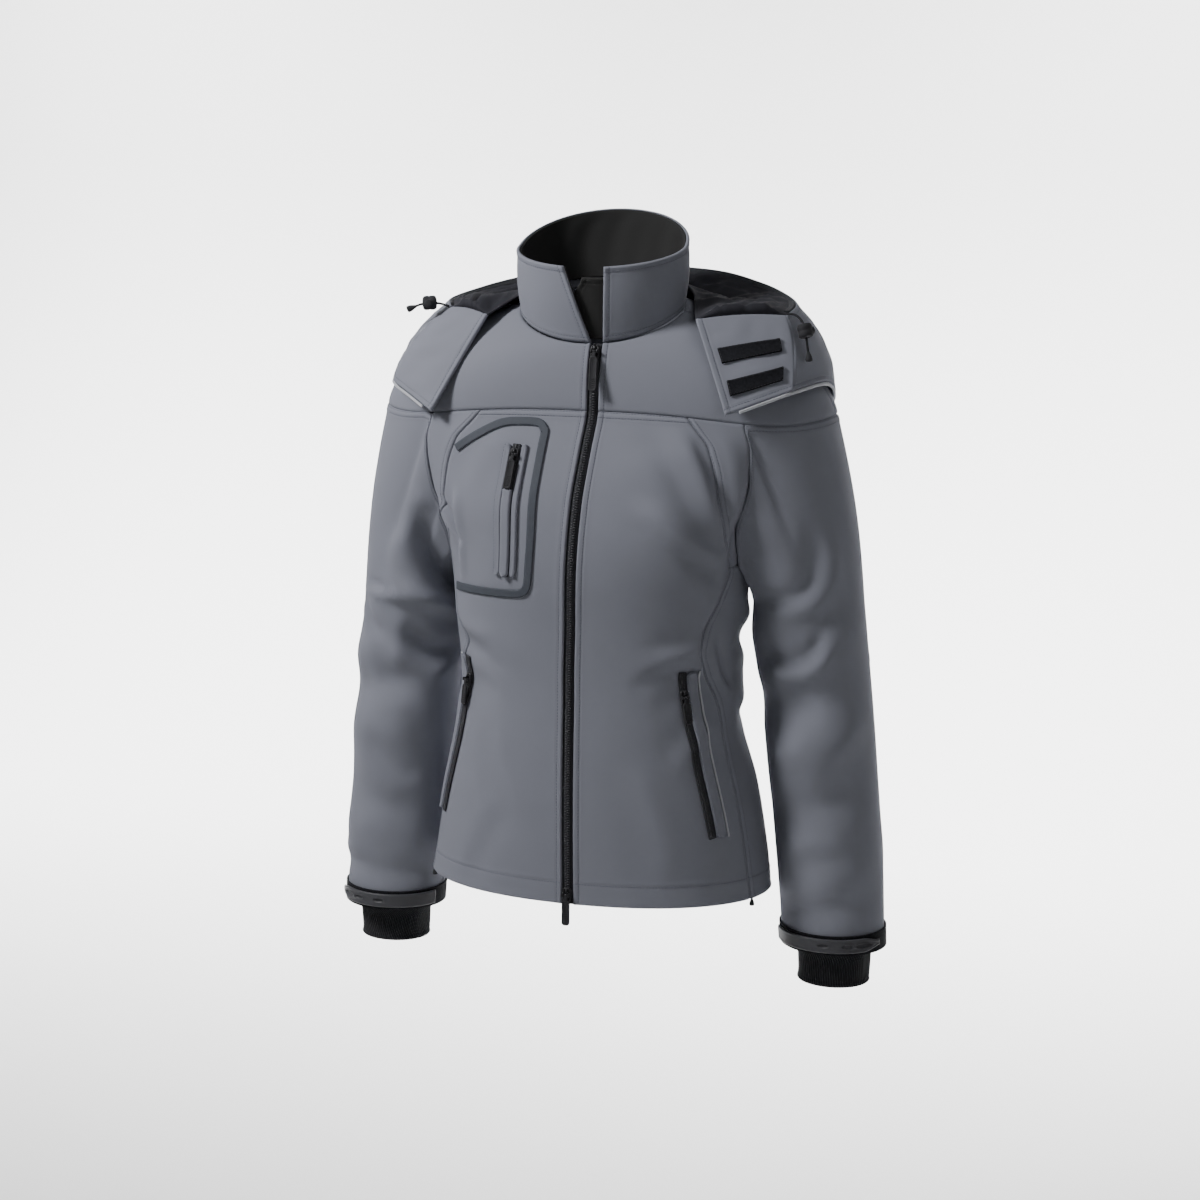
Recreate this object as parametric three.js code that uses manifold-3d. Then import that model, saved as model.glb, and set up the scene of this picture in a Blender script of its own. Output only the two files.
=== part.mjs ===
// Women's hooded softshell jacket, worn shape, in millimetres.
// Z points up, -Y is the wearer's front and +X is the wearer's left.
// The origin is midway between the shoulders at the height of the side neck points.

import * as THREE from 'three';
import Module from 'manifold-3d';
import { mergeVertices } from 'three/addons/utils/BufferGeometryUtils.js';

const degree = Math.PI / 180;
const { abs, cos, max, min, pow, sign, sin, PI } = Math;

// Cloth
const shellThick = 2.5;
const fleeceThick = 2;
const seamGap = 0.3;

// Lengths, measured down from the side neck point
const yokeSeamDown = 105;
const armpitDown = 262;
const hemDown = 610;
const tailDrop = 12;
const cuffDown = 672;
const stormCuffDown = 713;

// Main zip
const zipHalfWidth = 6;

// Body sections below the yoke. down: below the neck point, half: half width,
// front, side and back: y of the centre front, the widest line and the centre back, square: 2 is an ellipse
const BODY = [
  { down: 95, half: 241, front: -58, side: 36, back: 104, square: 2.8 },
  { down: 112, half: 241, front: -63, side: 35, back: 109, square: 2.8 },
  { down: 150, half: 216, front: -79, side: 30, back: 115, square: 2.7 },
  { down: 190, half: 187, front: -93, side: 21, back: 115, square: 2.6 },
  { down: 230, half: 167, front: -103, side: 12, back: 110, square: 2.5 },
  { down: 270, half: 158, front: -106, side: 8, back: 103, square: 2.4 },
  { down: 330, half: 154, front: -102, side: 4, back: 93, square: 2.3 },
  { down: 385, half: 149, front: -100, side: 0, back: 88, square: 2.3 },
  { down: 440, half: 153, front: -103, side: 0, back: 94, square: 2.25 },
  { down: 520, half: 169, front: -109, side: 0, back: 105, square: 2.2 },
  { down: 630, half: 187, front: -114, side: 0, back: 113, square: 2.2 },
];

// Where the seams run: turn is the angle round the body from the centre front, in degrees.
// zip: x of the centre front, front: front panel to side panel, armFront and armBack: the armhole
const SEAMS = [
  { down: 95, zip: 11, front: 17, armFront: 35, armBack: 143 },
  { down: 112, zip: 11, front: 21, armFront: 38, armBack: 140 },
  { down: 135, zip: 9, front: 29, armFront: 43.5, armBack: 135 },
  { down: 160, zip: 7, front: 37, armFront: 50.5, armBack: 130 },
  { down: 185, zip: 5, front: 45, armFront: 58, armBack: 126 },
  { down: 210, zip: 4, front: 53, armFront: 65, armBack: 122.5 },
  { down: 235, zip: 3, front: 61, armFront: 71, armBack: 120 },
  { down: 262, zip: 2, front: 70, armFront: 76, armBack: 118 },
  { down: 290, zip: 1, front: 65, armFront: 76, armBack: 118 },
  { down: 322, zip: 0, front: 56, armFront: 76, armBack: 118.5 },
  { down: 345, zip: -1, front: 53, armFront: 76, armBack: 119 },
  { down: 370, zip: -2, front: 60, armFront: 76, armBack: 119.5 },
  { down: 400, zip: -2, front: 68, armFront: 76, armBack: 120 },
  { down: 440, zip: -2, front: 71, armFront: 76, armBack: 120 },
  { down: 520, zip: -1, front: 73, armFront: 76, armBack: 119 },
  { down: 630, zip: 1, front: 72, armFront: 76, armBack: 118 },
];

// Levels of the rows of points on the body panels, from the yoke seam to the hem
const LEVELS = [105, 135, 160, 185, 210, 235, 262, 290, 322, 345, 370, 400, 440, 480, 520, 560, 588, 610];
const armpitRow = LEVELS.indexOf(armpitDown);

// Sleeve sections: x, y: the tube's middle, wide: half width, deep: half depth
const SLEEVE = [
  { down: 262, x: 212, y: 34, wide: 56, deep: 64 },
  { down: 300, x: 216, y: 34, wide: 57, deep: 63 },
  { down: 345, x: 218, y: 34, wide: 60, deep: 61 },
  { down: 412, x: 227, y: 34, wide: 58, deep: 59 },
  { down: 477, x: 233.5, y: 34, wide: 57.5, deep: 57 },
  { down: 585, x: 244, y: 33, wide: 56, deep: 52 },
  { down: 680, x: 250, y: 32, wide: 54, deep: 48 },
];
const SLEEVE_LEVELS = [306, 330, 355, 382, 412, 450, 492, 534, 575, 612, 642, cuffDown];

// Neck seam and collar rim, both from the centre front round to the centre back
const NECK = { half: 86, front: -46, side: 8, back: 72, frontZ: -38, sideZ: -8, backZ: 12 };
const RIM = { half: 89, front: -60, side: 8, back: 84, frontZ: 39, sideZ: 57, backZ: 91 };

// Soft folds on the body. from and to: [turn in degrees, down], depth: outwards, width: half width in mm
const BODY_FOLDS = [
  { from: [-6, 190], to: [-58, 215], depth: 4, width: 26 },
  { from: [14, 150], to: [48, 232], depth: 5, width: 20 },
  { from: [22, 165], to: [58, 262], depth: -5, width: 18 },
  { from: [20, 205], to: [54, 285], depth: 4, width: 22 },
  { from: [-60, 300], to: [-25, 360], depth: 4, width: 24 },
  { from: [-70, 380], to: [-35, 400], depth: -4, width: 22 },
  { from: [70, 375], to: [35, 395], depth: -4, width: 22 },
  { from: [78, 400], to: [110, 385], depth: 4, width: 20 },
  { from: [150, 330], to: [200, 350], depth: 4, width: 24 },
  { from: [-150, 375], to: [-205, 392], depth: -5, width: 24 },
  { from: [135, 200], to: [160, 290], depth: -5, width: 26 },
  { from: [-135, 200], to: [-160, 290], depth: -5, width: 26 },
  { from: [170, 470], to: [176, 600], depth: 4, width: 30 },
  { from: [-120, 480], to: [-112, 600], depth: 5, width: 28 },
  { from: [100, 470], to: [92, 600], depth: 5, width: 28 },
  { from: [-95, 440], to: [-88, 600], depth: -4, width: 26 },
];

// Soft folds on a sleeve. around: angle round the tube from the outside towards the front, in degrees
const SLEEVE_FOLDS = {
  left: [
    { from: [30, 300], to: [150, 372], depth: -7, width: 20 },
    { from: [10, 330], to: [120, 345], depth: 6, width: 22 },
    { from: [60, 398], to: [165, 408], depth: -7, width: 18 },
    { from: [10, 430], to: [120, 460], depth: 5, width: 24 },
    { from: [40, 500], to: [150, 528], depth: -5, width: 20 },
    { from: [-20, 560], to: [90, 590], depth: 4, width: 22 },
    { from: [200, 380], to: [300, 400], depth: -6, width: 22 },
    { from: [210, 450], to: [320, 440], depth: 5, width: 24 },
    { from: [190, 540], to: [290, 560], depth: -5, width: 22 },
    { from: [20, 616], to: [150, 630], depth: -4, width: 14 },
  ],
  right: [
    { from: [-10, 330], to: [110, 372], depth: -6, width: 20 },
    { from: [20, 352], to: [130, 306], depth: 6, width: 22 },
    { from: [0, 398], to: [120, 350], depth: 7, width: 20 },
    { from: [10, 428], to: [130, 398], depth: -7, width: 18 },
    { from: [0, 475], to: [140, 450], depth: 5, width: 24 },
    { from: [20, 528], to: [120, 560], depth: -5, width: 22 },
    { from: [-30, 590], to: [90, 575], depth: 4, width: 20 },
    { from: [200, 370], to: [310, 390], depth: -6, width: 22 },
    { from: [190, 460], to: [300, 445], depth: 5, width: 24 },
    { from: [200, 550], to: [300, 535], depth: -5, width: 22 },
    { from: [10, 620], to: [140, 632], depth: -4, width: 14 },
  ],
};

const COLOURS = {
  shell: { color: 0x7d7f8c, roughness: 0.82, metalness: 0 },
  fleece: { color: 0x1f1f24, roughness: 0.95, metalness: 0 },
  lining: { color: 0x24252c, roughness: 0.6, metalness: 0 },
  tape: { color: 0x474b57, roughness: 0.5, metalness: 0 },
  black: { color: 0x17181b, roughness: 0.5, metalness: 0 },
  rubber: { color: 0x26272b, roughness: 0.6, metalness: 0 },
  hook: { color: 0x121318, roughness: 0.9, metalness: 0 },
  piping: { color: 0xb9bcc4, roughness: 0.35, metalness: 0.2 },
  metal: { color: 0x2b2c30, roughness: 0.4, metalness: 0.7 },
};

const jacket = new THREE.Group();

function addMesh(name, geometry, finish, parent = jacket) {
  const mesh = new THREE.Mesh(geometry, new THREE.MeshStandardMaterial(COLOURS[finish]));
  mesh.name = name;
  parent.add(mesh);
  return mesh;
}

function mix(a, b, share) {
  return a + (b - a) * share;
}

function smooth(from, to, value) {
  const share = min(1, max(0, (value - from) / (to - from)));
  return share * share * (3 - 2 * share);
}

// Reads a column of a table at a height, on a smooth curve through its rows
function along(rows, down, column) {
  let i = 0;
  while (i < rows.length - 2 && rows[i + 1].down < down) i += 1;
  const a = rows[i];
  const b = rows[i + 1];
  const before = rows[max(0, i - 1)];
  const after = rows[min(rows.length - 1, i + 2)];
  const step = b.down - a.down;
  const share = min(1, max(0, (down - a.down) / step));
  const slopeA = ((b[column] - before[column]) / (b.down - before.down)) * step;
  const slopeB = ((after[column] - a[column]) / (after.down - a.down)) * step;
  const two = share * share;
  const three = two * share;
  return (2 * three - 3 * two + 1) * a[column] + (three - 2 * two + share) * slopeA
    + (3 * two - 2 * three) * b[column] + (three - two) * slopeB;
}

// Height of soft folds at a place, where place and fold ends are in millimetres on the cloth
function foldHeight(folds, place, toMillimetres) {
  let height = 0;
  for (const fold of folds) {
    const start = toMillimetres(...fold.from);
    const end = toMillimetres(...fold.to);
    const run = end.clone().sub(start);
    const share = place.clone().sub(start).dot(run) / run.lengthSq();
    if (share < -0.3 || share > 1.3) continue;
    const nearest = start.clone().addScaledVector(run, min(1, max(0, share)));
    const away = place.distanceTo(nearest) / fold.width;
    const taper = smooth(-0.3, 0.25, share) * smooth(1.3, 0.75, share);
    height += fold.depth * taper * Math.exp(-away * away);
  }
  return height;
}

// A point on a ring that is an ellipse or squarer, with its own front and back depth
function ringPoint({ half, front, side, back, square = 2 }, turn) {
  const across = sin(turn);
  const ahead = cos(turn);
  const reach = pow(abs(ahead), 2 / square) * (ahead > 0 ? front - side : back - side);
  return new THREE.Vector2(half * sign(across) * pow(abs(across), 2 / square), side + reach);
}

function bodySection(down) {
  const section = {};
  for (const column of ['half', 'front', 'side', 'back', 'square']) {
    section[column] = along(BODY, down, column);
  }
  return section;
}

const turnToMillimetres = 2.4;

function bodyPlace(turnDegrees, down) {
  return new THREE.Vector2(turnDegrees * turnToMillimetres, down);
}

// The body's outer surface. turn is in radians and signed, + to the wearer's left
function bodyPlain(turn, down) {
  const { x, y } = ringPoint(bodySection(down), turn);
  return new THREE.Vector3(x, y, -down);
}

function bodyPoint(turn, down) {
  const point = bodyPlain(turn, down);
  const degrees = turn / degree;
  let height = 0;
  for (const lap of [-360, 0, 360]) {
    height += foldHeight(BODY_FOLDS, bodyPlace(degrees + lap, down), bodyPlace);
  }
  const inner = new THREE.Vector2(point.x, point.y).normalize();
  const calm = smooth(yokeSeamDown, yokeSeamDown + 45, down);
  return point.add(new THREE.Vector3(inner.x, inner.y, 0).multiplyScalar(height * calm));
}

// The signed turn at which the body ring has a given x near the front
function turnAtX(down, x) {
  const { half, square } = bodySection(down);
  return sign(x) * Math.asin(pow(abs(x) / half, square / 2));
}

function yokeSeamAt(turn) {
  return yokeSeamDown + 7 * pow(sin(turn), 2) + 7 * pow(sin(2 * turn), 2);
}

function hemAt(turn) {
  return hemDown + tailDrop * (0.5 - 0.5 * cos(turn)) - 4 * pow(sin(turn), 2);
}

function levelAt(row, turn) {
  if (row === 0) return yokeSeamAt(turn);
  return row === LEVELS.length - 1 ? hemAt(turn) : LEVELS[row];
}

// Sewn cloth panels: grids of outer points, whose shared edges keep a common direction and the seam gap
const panels = [];
const seamDirections = new Map();

function placeKey(point) {
  return [point.x, point.y, point.z].map((value) => value.toFixed(2)).join(' ');
}

function gridNormals(grid, ringed) {
  const rows = grid.length;
  const columns = grid[0].length;
  return grid.map((line, i) => line.map((point, j) => {
    const left = ringed ? line[(j + columns - 1) % columns] : line[max(0, j - 1)];
    const right = ringed ? line[(j + 1) % columns] : line[min(columns - 1, j + 1)];
    const rightward = right.clone().sub(left);
    const down = grid[min(rows - 1, i + 1)][j].clone().sub(grid[max(0, i - 1)][j]);
    return down.cross(rightward).normalize();
  }));
}

// rows run from top to bottom and columns towards the wearer's left, seen from outside at the front
function addPanel(name, grid, finish, { thick = shellThick, ringed = false, sewn = true } = {}) {
  const normals = gridNormals(grid, ringed);
  const sideEdge = (j) => !ringed && (j === 0 || j === grid[0].length - 1);
  const edge = (i, j) => i === 0 || i === grid.length - 1 || sideEdge(j);
  if (sewn) {
    grid.forEach((line, i) => line.forEach((point, j) => {
      if (!edge(i, j)) return;
      const key = placeKey(point);
      if (!seamDirections.has(key)) seamDirections.set(key, new THREE.Vector3());
      seamDirections.get(key).add(normals[i][j]);
    }));
  }
  panels.push({ name, grid, normals, finish, thick, ringed, sewn, edge });
}

function wallGeometry(outer, inner, ringed) {
  const rows = outer.length;
  const columns = outer[0].length;
  const positions = [];
  for (const grid of [outer, inner]) {
    for (const line of grid) for (const point of line) positions.push(point.x, point.y, point.z);
  }
  const at = (layer, i, j) => layer * rows * columns + i * columns + (j % columns);
  const faces = [];
  const quad = (a, b, c, d) => faces.push(a, b, c, a, c, d);
  const lastColumn = ringed ? columns : columns - 1;
  for (let i = 0; i < rows - 1; i += 1) {
    for (let j = 0; j < lastColumn; j += 1) {
      quad(at(0, i, j), at(0, i + 1, j), at(0, i + 1, j + 1), at(0, i, j + 1));
      quad(at(1, i, j), at(1, i, j + 1), at(1, i + 1, j + 1), at(1, i + 1, j));
    }
  }
  // Both sides of a seam split their end faces the same way, so that they stay clear of each other
  const rank = (k) => positions[3 * k + 2] + 0.37 * positions[3 * k] + 0.53 * positions[3 * k + 1];
  const rim = (outerA, outerB, innerB, innerA) => {
    if (rank(outerA) < rank(outerB)) quad(outerA, outerB, innerB, innerA);
    else quad(outerB, innerB, innerA, outerA);
  };
  for (let j = 0; j < lastColumn; j += 1) {
    rim(at(0, 0, j), at(0, 0, j + 1), at(1, 0, j + 1), at(1, 0, j));
    rim(at(0, rows - 1, j + 1), at(0, rows - 1, j), at(1, rows - 1, j), at(1, rows - 1, j + 1));
  }
  for (let i = 0; i < rows - 1 && !ringed; i += 1) {
    rim(at(0, i + 1, 0), at(0, i, 0), at(1, i, 0), at(1, i + 1, 0));
    rim(at(0, i, columns - 1), at(0, i + 1, columns - 1), at(1, i + 1, columns - 1), at(1, i, columns - 1));
  }
  const geometry = new THREE.BufferGeometry();
  geometry.setAttribute('position', new THREE.Float32BufferAttribute(positions, 3));
  geometry.setIndex(faces);
  geometry.computeVertexNormals();
  return geometry;
}

// Moves an edge point half the seam gap into its own panel, square to the seam
function insetPoint(grid, i, j, ringed) {
  const rows = grid.length;
  const columns = grid[0].length;
  const shift = new THREE.Vector3();
  const pull = (inwards, before, after) => {
    const run = after.clone().sub(before).normalize();
    const step = inwards.clone().sub(grid[i][j]);
    shift.add(step.addScaledVector(run, -step.dot(run)).setLength(seamGap / 2));
  };
  const columnAt = (k) => (ringed ? (k + columns) % columns : min(columns - 1, max(0, k)));
  const rowAt = (k) => min(rows - 1, max(0, k));
  if (i === 0) pull(grid[1][j], grid[0][columnAt(j - 1)], grid[0][columnAt(j + 1)]);
  if (i === rows - 1) pull(grid[i - 1][j], grid[i][columnAt(j - 1)], grid[i][columnAt(j + 1)]);
  if (!ringed && j === 0) pull(grid[i][1], grid[rowAt(i - 1)][j], grid[rowAt(i + 1)][j]);
  if (!ringed && j === columns - 1) pull(grid[i][j - 1], grid[rowAt(i - 1)][j], grid[rowAt(i + 1)][j]);
  return shift;
}

function sewPanels() {
  for (const { name, grid, normals, finish, thick, ringed, sewn, edge } of panels) {
    const outer = grid.map((line, i) => line.map((point, j) => (
      sewn && edge(i, j) ? point.clone().add(insetPoint(grid, i, j, ringed)) : point.clone())));
    const inner = outer.map((line, i) => line.map((point, j) => {
      const shared = sewn && edge(i, j) ? seamDirections.get(placeKey(grid[i][j])).clone().normalize() : null;
      return point.clone().addScaledVector(shared ?? normals[i][j], -thick);
    }));
    addMesh(name, wallGeometry(outer, inner, ringed), finish);
  }
}

// Even steps from one value to another, both included
function steps(from, to, count) {
  return Array.from({ length: count + 1 }, (_, k) => mix(from, to, k / count));
}

// Body panels

function turnsBetween(row, from, to, count) {
  return steps(from(row), to(row), count);
}

function seamTurn(column, side) {
  return (row) => side * along(SEAMS, LEVELS[row], column) * degree;
}

function zipEdge(side) {
  return (row) => turnAtX(LEVELS[row], along(SEAMS, LEVELS[row], 'zip') + side * zipHalfWidth);
}

const fromBehind = (column) => (row) => 2 * PI - along(SEAMS, LEVELS[row], column) * degree;

function bodyGrid(rows, from, to, count) {
  return rows.map((row) => (
    turnsBetween(row, from, to, count).map((turn) => bodyPoint(turn, levelAt(row, turn)))));
}

const allRows = LEVELS.map((_, row) => row);
const upperRows = allRows.slice(0, armpitRow + 1);
const lowerRows = allRows.slice(armpitRow);
const frontColumns = 7;
const chestSideColumns = 2;
const armholeColumns = 6;
const sideColumns = chestSideColumns + armholeColumns;
const backColumns = 12;
const capFrontColumns = 5;
const capBackColumns = 4;

// The lowest stretch of an armhole, from its front to its back
function armholeBottom(side) {
  const sag = 10;
  const from = along(SEAMS, armpitDown, 'armFront');
  const to = along(SEAMS, armpitDown, 'armBack');
  return steps(0, 1, armholeColumns).map((share) => (
    bodyPoint(side * mix(from, to, share) * degree, armpitDown + sag * sin(share * PI))));
}

for (const [sideName, side] of [['left', 1], ['right', -1]]) {
  const front = seamTurn('front', side);
  const armFront = seamTurn('armFront', side);
  const armBack = seamTurn('armBack', side);
  const ordered = (grid) => (side > 0 ? grid : grid.map((line) => line.slice().reverse()));
  addPanel(`front_${sideName}`, ordered(bodyGrid(allRows, zipEdge(side), front, frontColumns)), 'shell');
  const strip = bodyGrid(upperRows, front, armFront, chestSideColumns);
  addPanel(`chest_side_${sideName}`, ordered(strip), 'shell');
  const sideGrid = bodyGrid(lowerRows, front, armBack, sideColumns);
  const stripEnd = bodyGrid([armpitRow], front, armFront, chestSideColumns)[0];
  sideGrid[0] = [...stripEnd, ...armholeBottom(side).slice(1)];
  addPanel(`side_${sideName}`, ordered(sideGrid), 'shell');
}
addPanel('back', bodyGrid(allRows, seamTurn('armBack', 1), fromBehind('armBack'), backColumns), 'shell');

// Yoke and neck

function neckPoint(turn) {
  const { x, y } = ringPoint(NECK, turn);
  const ahead = cos(turn);
  const dip = (NECK.frontZ - NECK.sideZ) * pow(max(0, ahead), 1.3);
  const climb = (NECK.backZ - NECK.sideZ) * max(0, -ahead);
  const z = NECK.sideZ + dip + climb;
  return new THREE.Vector3(x, y, z);
}

function rimPoint(turn) {
  const { x, y } = ringPoint(RIM, turn);
  const ahead = cos(turn);
  const slope = ahead > 0 ? RIM.frontZ - RIM.sideZ : RIM.sideZ - RIM.backZ;
  return new THREE.Vector3(x, y, RIM.sideZ + ahead * slope);
}

// The yoke's outer line from the neck to the yoke seam: share 0 to 1
function yokePoint(neck, seam, share) {
  const away = new THREE.Vector3(seam.x - neck.x, seam.y - neck.y, 0);
  const fall = seam.z - neck.z;
  const nearNeck = neck.clone().addScaledVector(away, 0.45).add(new THREE.Vector3(0, 0, fall * 0.12));
  const nearSeam = neck.clone().addScaledVector(away, 0.95).add(new THREE.Vector3(0, 0, fall * 0.55));
  return new THREE.CubicBezierCurve3(neck, nearNeck, nearSeam, seam).getPoint(share);
}

const YOKE_SHARES = [0, 0.2, 0.42, 0.64, 0.84, 1];

// Turns of the yoke seam's points from a front edge to the shoulder, the same ones that the panels below have
function yokeSeamTurns(side) {
  const front = seamTurn('front', side)(0);
  const armFront = seamTurn('armFront', side)(0);
  return [
    ...steps(zipEdge(side)(0), front, frontColumns),
    ...steps(front, armFront, chestSideColumns).slice(1),
    ...steps(armFront, side * PI / 2, capFrontColumns).slice(1),
  ];
}

const neckTurnAtX = (x) => Math.asin(x / NECK.half);
const zipTopX = along(SEAMS, yokeSeamDown, 'zip');

function neckTurns(side) {
  const turns = yokeSeamTurns(side);
  const start = neckTurnAtX(zipTopX + side * zipHalfWidth);
  const shoulder = side * PI / 2;
  return turns.map((turn) => mix(start, shoulder, (turn - turns[0]) / (shoulder - turns[0])));
}

const backSeamTurns = [
  ...steps(PI / 2, seamTurn('armBack', 1)(0), capBackColumns),
  ...steps(seamTurn('armBack', 1)(0), fromBehind('armBack')(0), backColumns).slice(1),
  ...steps(fromBehind('armBack')(0), 1.5 * PI, capBackColumns).slice(1),
];

function yokeGrid(neckList, seamList) {
  return YOKE_SHARES.map((share) => seamList.map((turn, j) => (
    yokePoint(neckPoint(neckList[j]), bodyPoint(turn, yokeSeamAt(turn)), share))));
}

addPanel('yoke_front_left', yokeGrid(neckTurns(1), yokeSeamTurns(1)), 'shell');
addPanel('yoke_front_right', yokeGrid(neckTurns(-1).reverse(), yokeSeamTurns(-1).reverse()), 'shell');
addPanel('yoke_back', yokeGrid(backSeamTurns, backSeamTurns), 'shell');

// Sleeves

function sleeveRing(side, down, angle) {
  const x = along(SLEEVE, down, 'x') + along(SLEEVE, down, 'wide') * cos(angle);
  const y = along(SLEEVE, down, 'y') + along(SLEEVE, down, 'deep') * sin(angle);
  return new THREE.Vector3(side * x, y, -down);
}

// Angles round a sleeve from its outside towards the back, one for each point of its top edge
const SLEEVE_ANGLES = [
  ...steps(-60, 55, capFrontColumns + capBackColumns),
  ...steps(55, 140, armpitRow).slice(1),
  ...steps(140, 220, armholeColumns).slice(1),
  ...steps(220, 300, armpitRow).slice(1, -1),
].map((angle) => angle * degree);

function sleeveTop(side) {
  const armFront = seamTurn('armFront', side);
  const armBack = seamTurn('armBack', side);
  const edge = (turnOf, rows) => rows.map((row) => bodyPoint(turnOf(row), levelAt(row, turnOf(row))));
  const cap = [
    ...steps(armFront(0), side * PI / 2, capFrontColumns),
    ...steps(side * PI / 2, armBack(0), capBackColumns).slice(1),
  ].map((turn) => bodyPoint(turn, yokeSeamAt(turn)));
  return [
    ...cap,
    ...edge(armBack, upperRows.slice(1)),
    ...armholeBottom(side).reverse().slice(1),
    ...edge(armFront, upperRows.slice(1, -1).reverse()),
  ];
}

function sleevePlace(angleDegrees, down) {
  return new THREE.Vector2(angleDegrees, down);
}

function sleeveLift(folds, angle, down) {
  const around = (720 - angle / degree) % 360;
  let height = 0;
  for (const lap of [-360, 0, 360]) height += foldHeight(folds, sleevePlace(around + lap, down), sleevePlace);
  return height * smooth(cuffDown, cuffDown - 20, down);
}

function sleeveGrid(side, folds) {
  const top = sleeveTop(side);
  const joinDown = SLEEVE_LEVELS[0];
  const grid = [];
  for (const share of steps(0, 1, 5)) {
    grid.push(top.map((point, j) => {
      const angle = SLEEVE_ANGLES[j];
      const low = sleeveRing(side, joinDown, angle);
      const place = point.clone().lerp(low, share);
      const lift = sleeveLift(folds, angle, -place.z) * smooth(0, 0.6, share);
      return place.add(new THREE.Vector3(side * cos(angle), sin(angle), 0).multiplyScalar(lift));
    }));
  }
  for (const down of SLEEVE_LEVELS.slice(1)) {
    grid.push(SLEEVE_ANGLES.map((angle) => {
      const lift = sleeveLift(folds, angle, down);
      return sleeveRing(side, down, angle)
        .add(new THREE.Vector3(side * cos(angle), sin(angle), 0).multiplyScalar(lift));
    }));
  }
  return side > 0 ? grid : grid.map((line) => line.slice().reverse());
}

addPanel('sleeve_left', sleeveGrid(1, SLEEVE_FOLDS.left), 'shell', { ringed: true });
addPanel('sleeve_right', sleeveGrid(-1, SLEEVE_FOLDS.right), 'shell', { ringed: true });

// Collar

const collarOpenX = { left: 22, right: -21 };
const rimTurnAtX = (x) => Math.asin(x / RIM.half);
const neckLoop = [
  ...neckTurns(1),
  ...backSeamTurns.slice(1),
  ...neckTurns(-1).reverse().slice(1).map((turn) => turn + 2 * PI),
];

function rimTurn(turn) {
  const first = neckLoop[0];
  const last = neckLoop[neckLoop.length - 1];
  const share = (turn - first) / (last - first);
  return mix(rimTurnAtX(collarOpenX.left), 2 * PI + rimTurnAtX(collarOpenX.right), share);
}

// The collar's outer surface, turn as on the neck seam and share 0 at that seam to 1 at the rim
function collarPoint(turn, share) {
  const low = neckPoint(turn);
  const high = rimPoint(rimTurn(turn));
  const point = low.clone().lerp(high, share);
  const bow = 3 * sin(share * PI);
  return point.add(new THREE.Vector3(sin(turn), -cos(turn), 0).multiplyScalar(bow));
}

const COLLAR_SHARES = [1, 0.75, 0.5, 0.25, 0];

addPanel('collar', COLLAR_SHARES.map((share) => neckLoop.map((turn) => collarPoint(turn, share))), 'shell');

// The fleece inside the collar, the flap behind the open zip and the storm cuffs

function outwardAt(turn, share) {
  const nudge = 0.02;
  const around = collarPoint(turn + nudge, share).sub(collarPoint(turn - nudge, share));
  const fall = collarPoint(turn, max(0, share - nudge)).sub(collarPoint(turn, min(1, share + nudge)));
  return fall.cross(around).normalize();
}

function insideCollar(turn, share, depth) {
  return collarPoint(turn, share).addScaledVector(outwardAt(turn, share), -depth);
}

const turnedEdge = 0.2;
const fleeceDepth = shellThick + seamGap + turnedEdge;
const FLEECE_SHARES = [0.985, 0.8, 0.55, 0.3, 0.1];
const fleeceLoop = neckLoop.filter((_, k) => k % 2 === 0);
const fleeceGrid = FLEECE_SHARES.map((share) => fleeceLoop.map((turn) => insideCollar(turn, share, fleeceDepth)));
addPanel('collar_fleece', fleeceGrid, 'fleece', { thick: fleeceThick, sewn: false });

const flapHalfWidth = 23;
const chinGuardInset = 7;
const flapDepth = fleeceDepth + fleeceThick + seamGap;
const FLAP_RISES = [66, 58, 40, 22, 4];

// The storm flap stands inside the open collar, from its chin guard down to the neck seam
addPanel('storm_flap', FLAP_RISES.map((rise, k) => {
  const half = flapHalfWidth - (k === 0 ? chinGuardInset : 0);
  const share = rise / (RIM.frontZ - NECK.frontZ);
  const front = mix(NECK.front, RIM.front, share);
  return steps(-half, half, 6).map((across) => {
    const x = zipTopX + across;
    const y = NECK.side + (front - NECK.side) * Math.sqrt(1 - (x / NECK.half) ** 2);
    return new THREE.Vector3(x, y + flapDepth, NECK.frontZ + rise);
  });
}), 'fleece', { thick: 1.6, sewn: false });

const STORM_CUFF = [
  { down: 640, inside: 3.2 },
  { down: 666, inside: 11 },
  { down: 684, inside: 15 },
  { down: stormCuffDown, inside: 16.5 },
];

function sideways(side, angle) {
  return new THREE.Vector3(side * cos(angle), sin(angle), 0);
}

function orderedRing(side, line) {
  return side > 0 ? line : line.slice().reverse();
}

function cuffRing(side, down, out) {
  const place = (angle) => {
    const lift = down < cuffDown ? sleeveLift(SLEEVE_FOLDS[side > 0 ? 'left' : 'right'], angle, down) : 0;
    return sleeveRing(side, down, angle).addScaledVector(sideways(side, angle), out + lift);
  };
  return orderedRing(side, SLEEVE_ANGLES.map(place));
}

const stripHeight = 21;
const stripTop = cuffDown - stripHeight - 1;
const TAB = { from: 22, to: 158, low: 3, high: 3, out: 3.6 };

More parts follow.
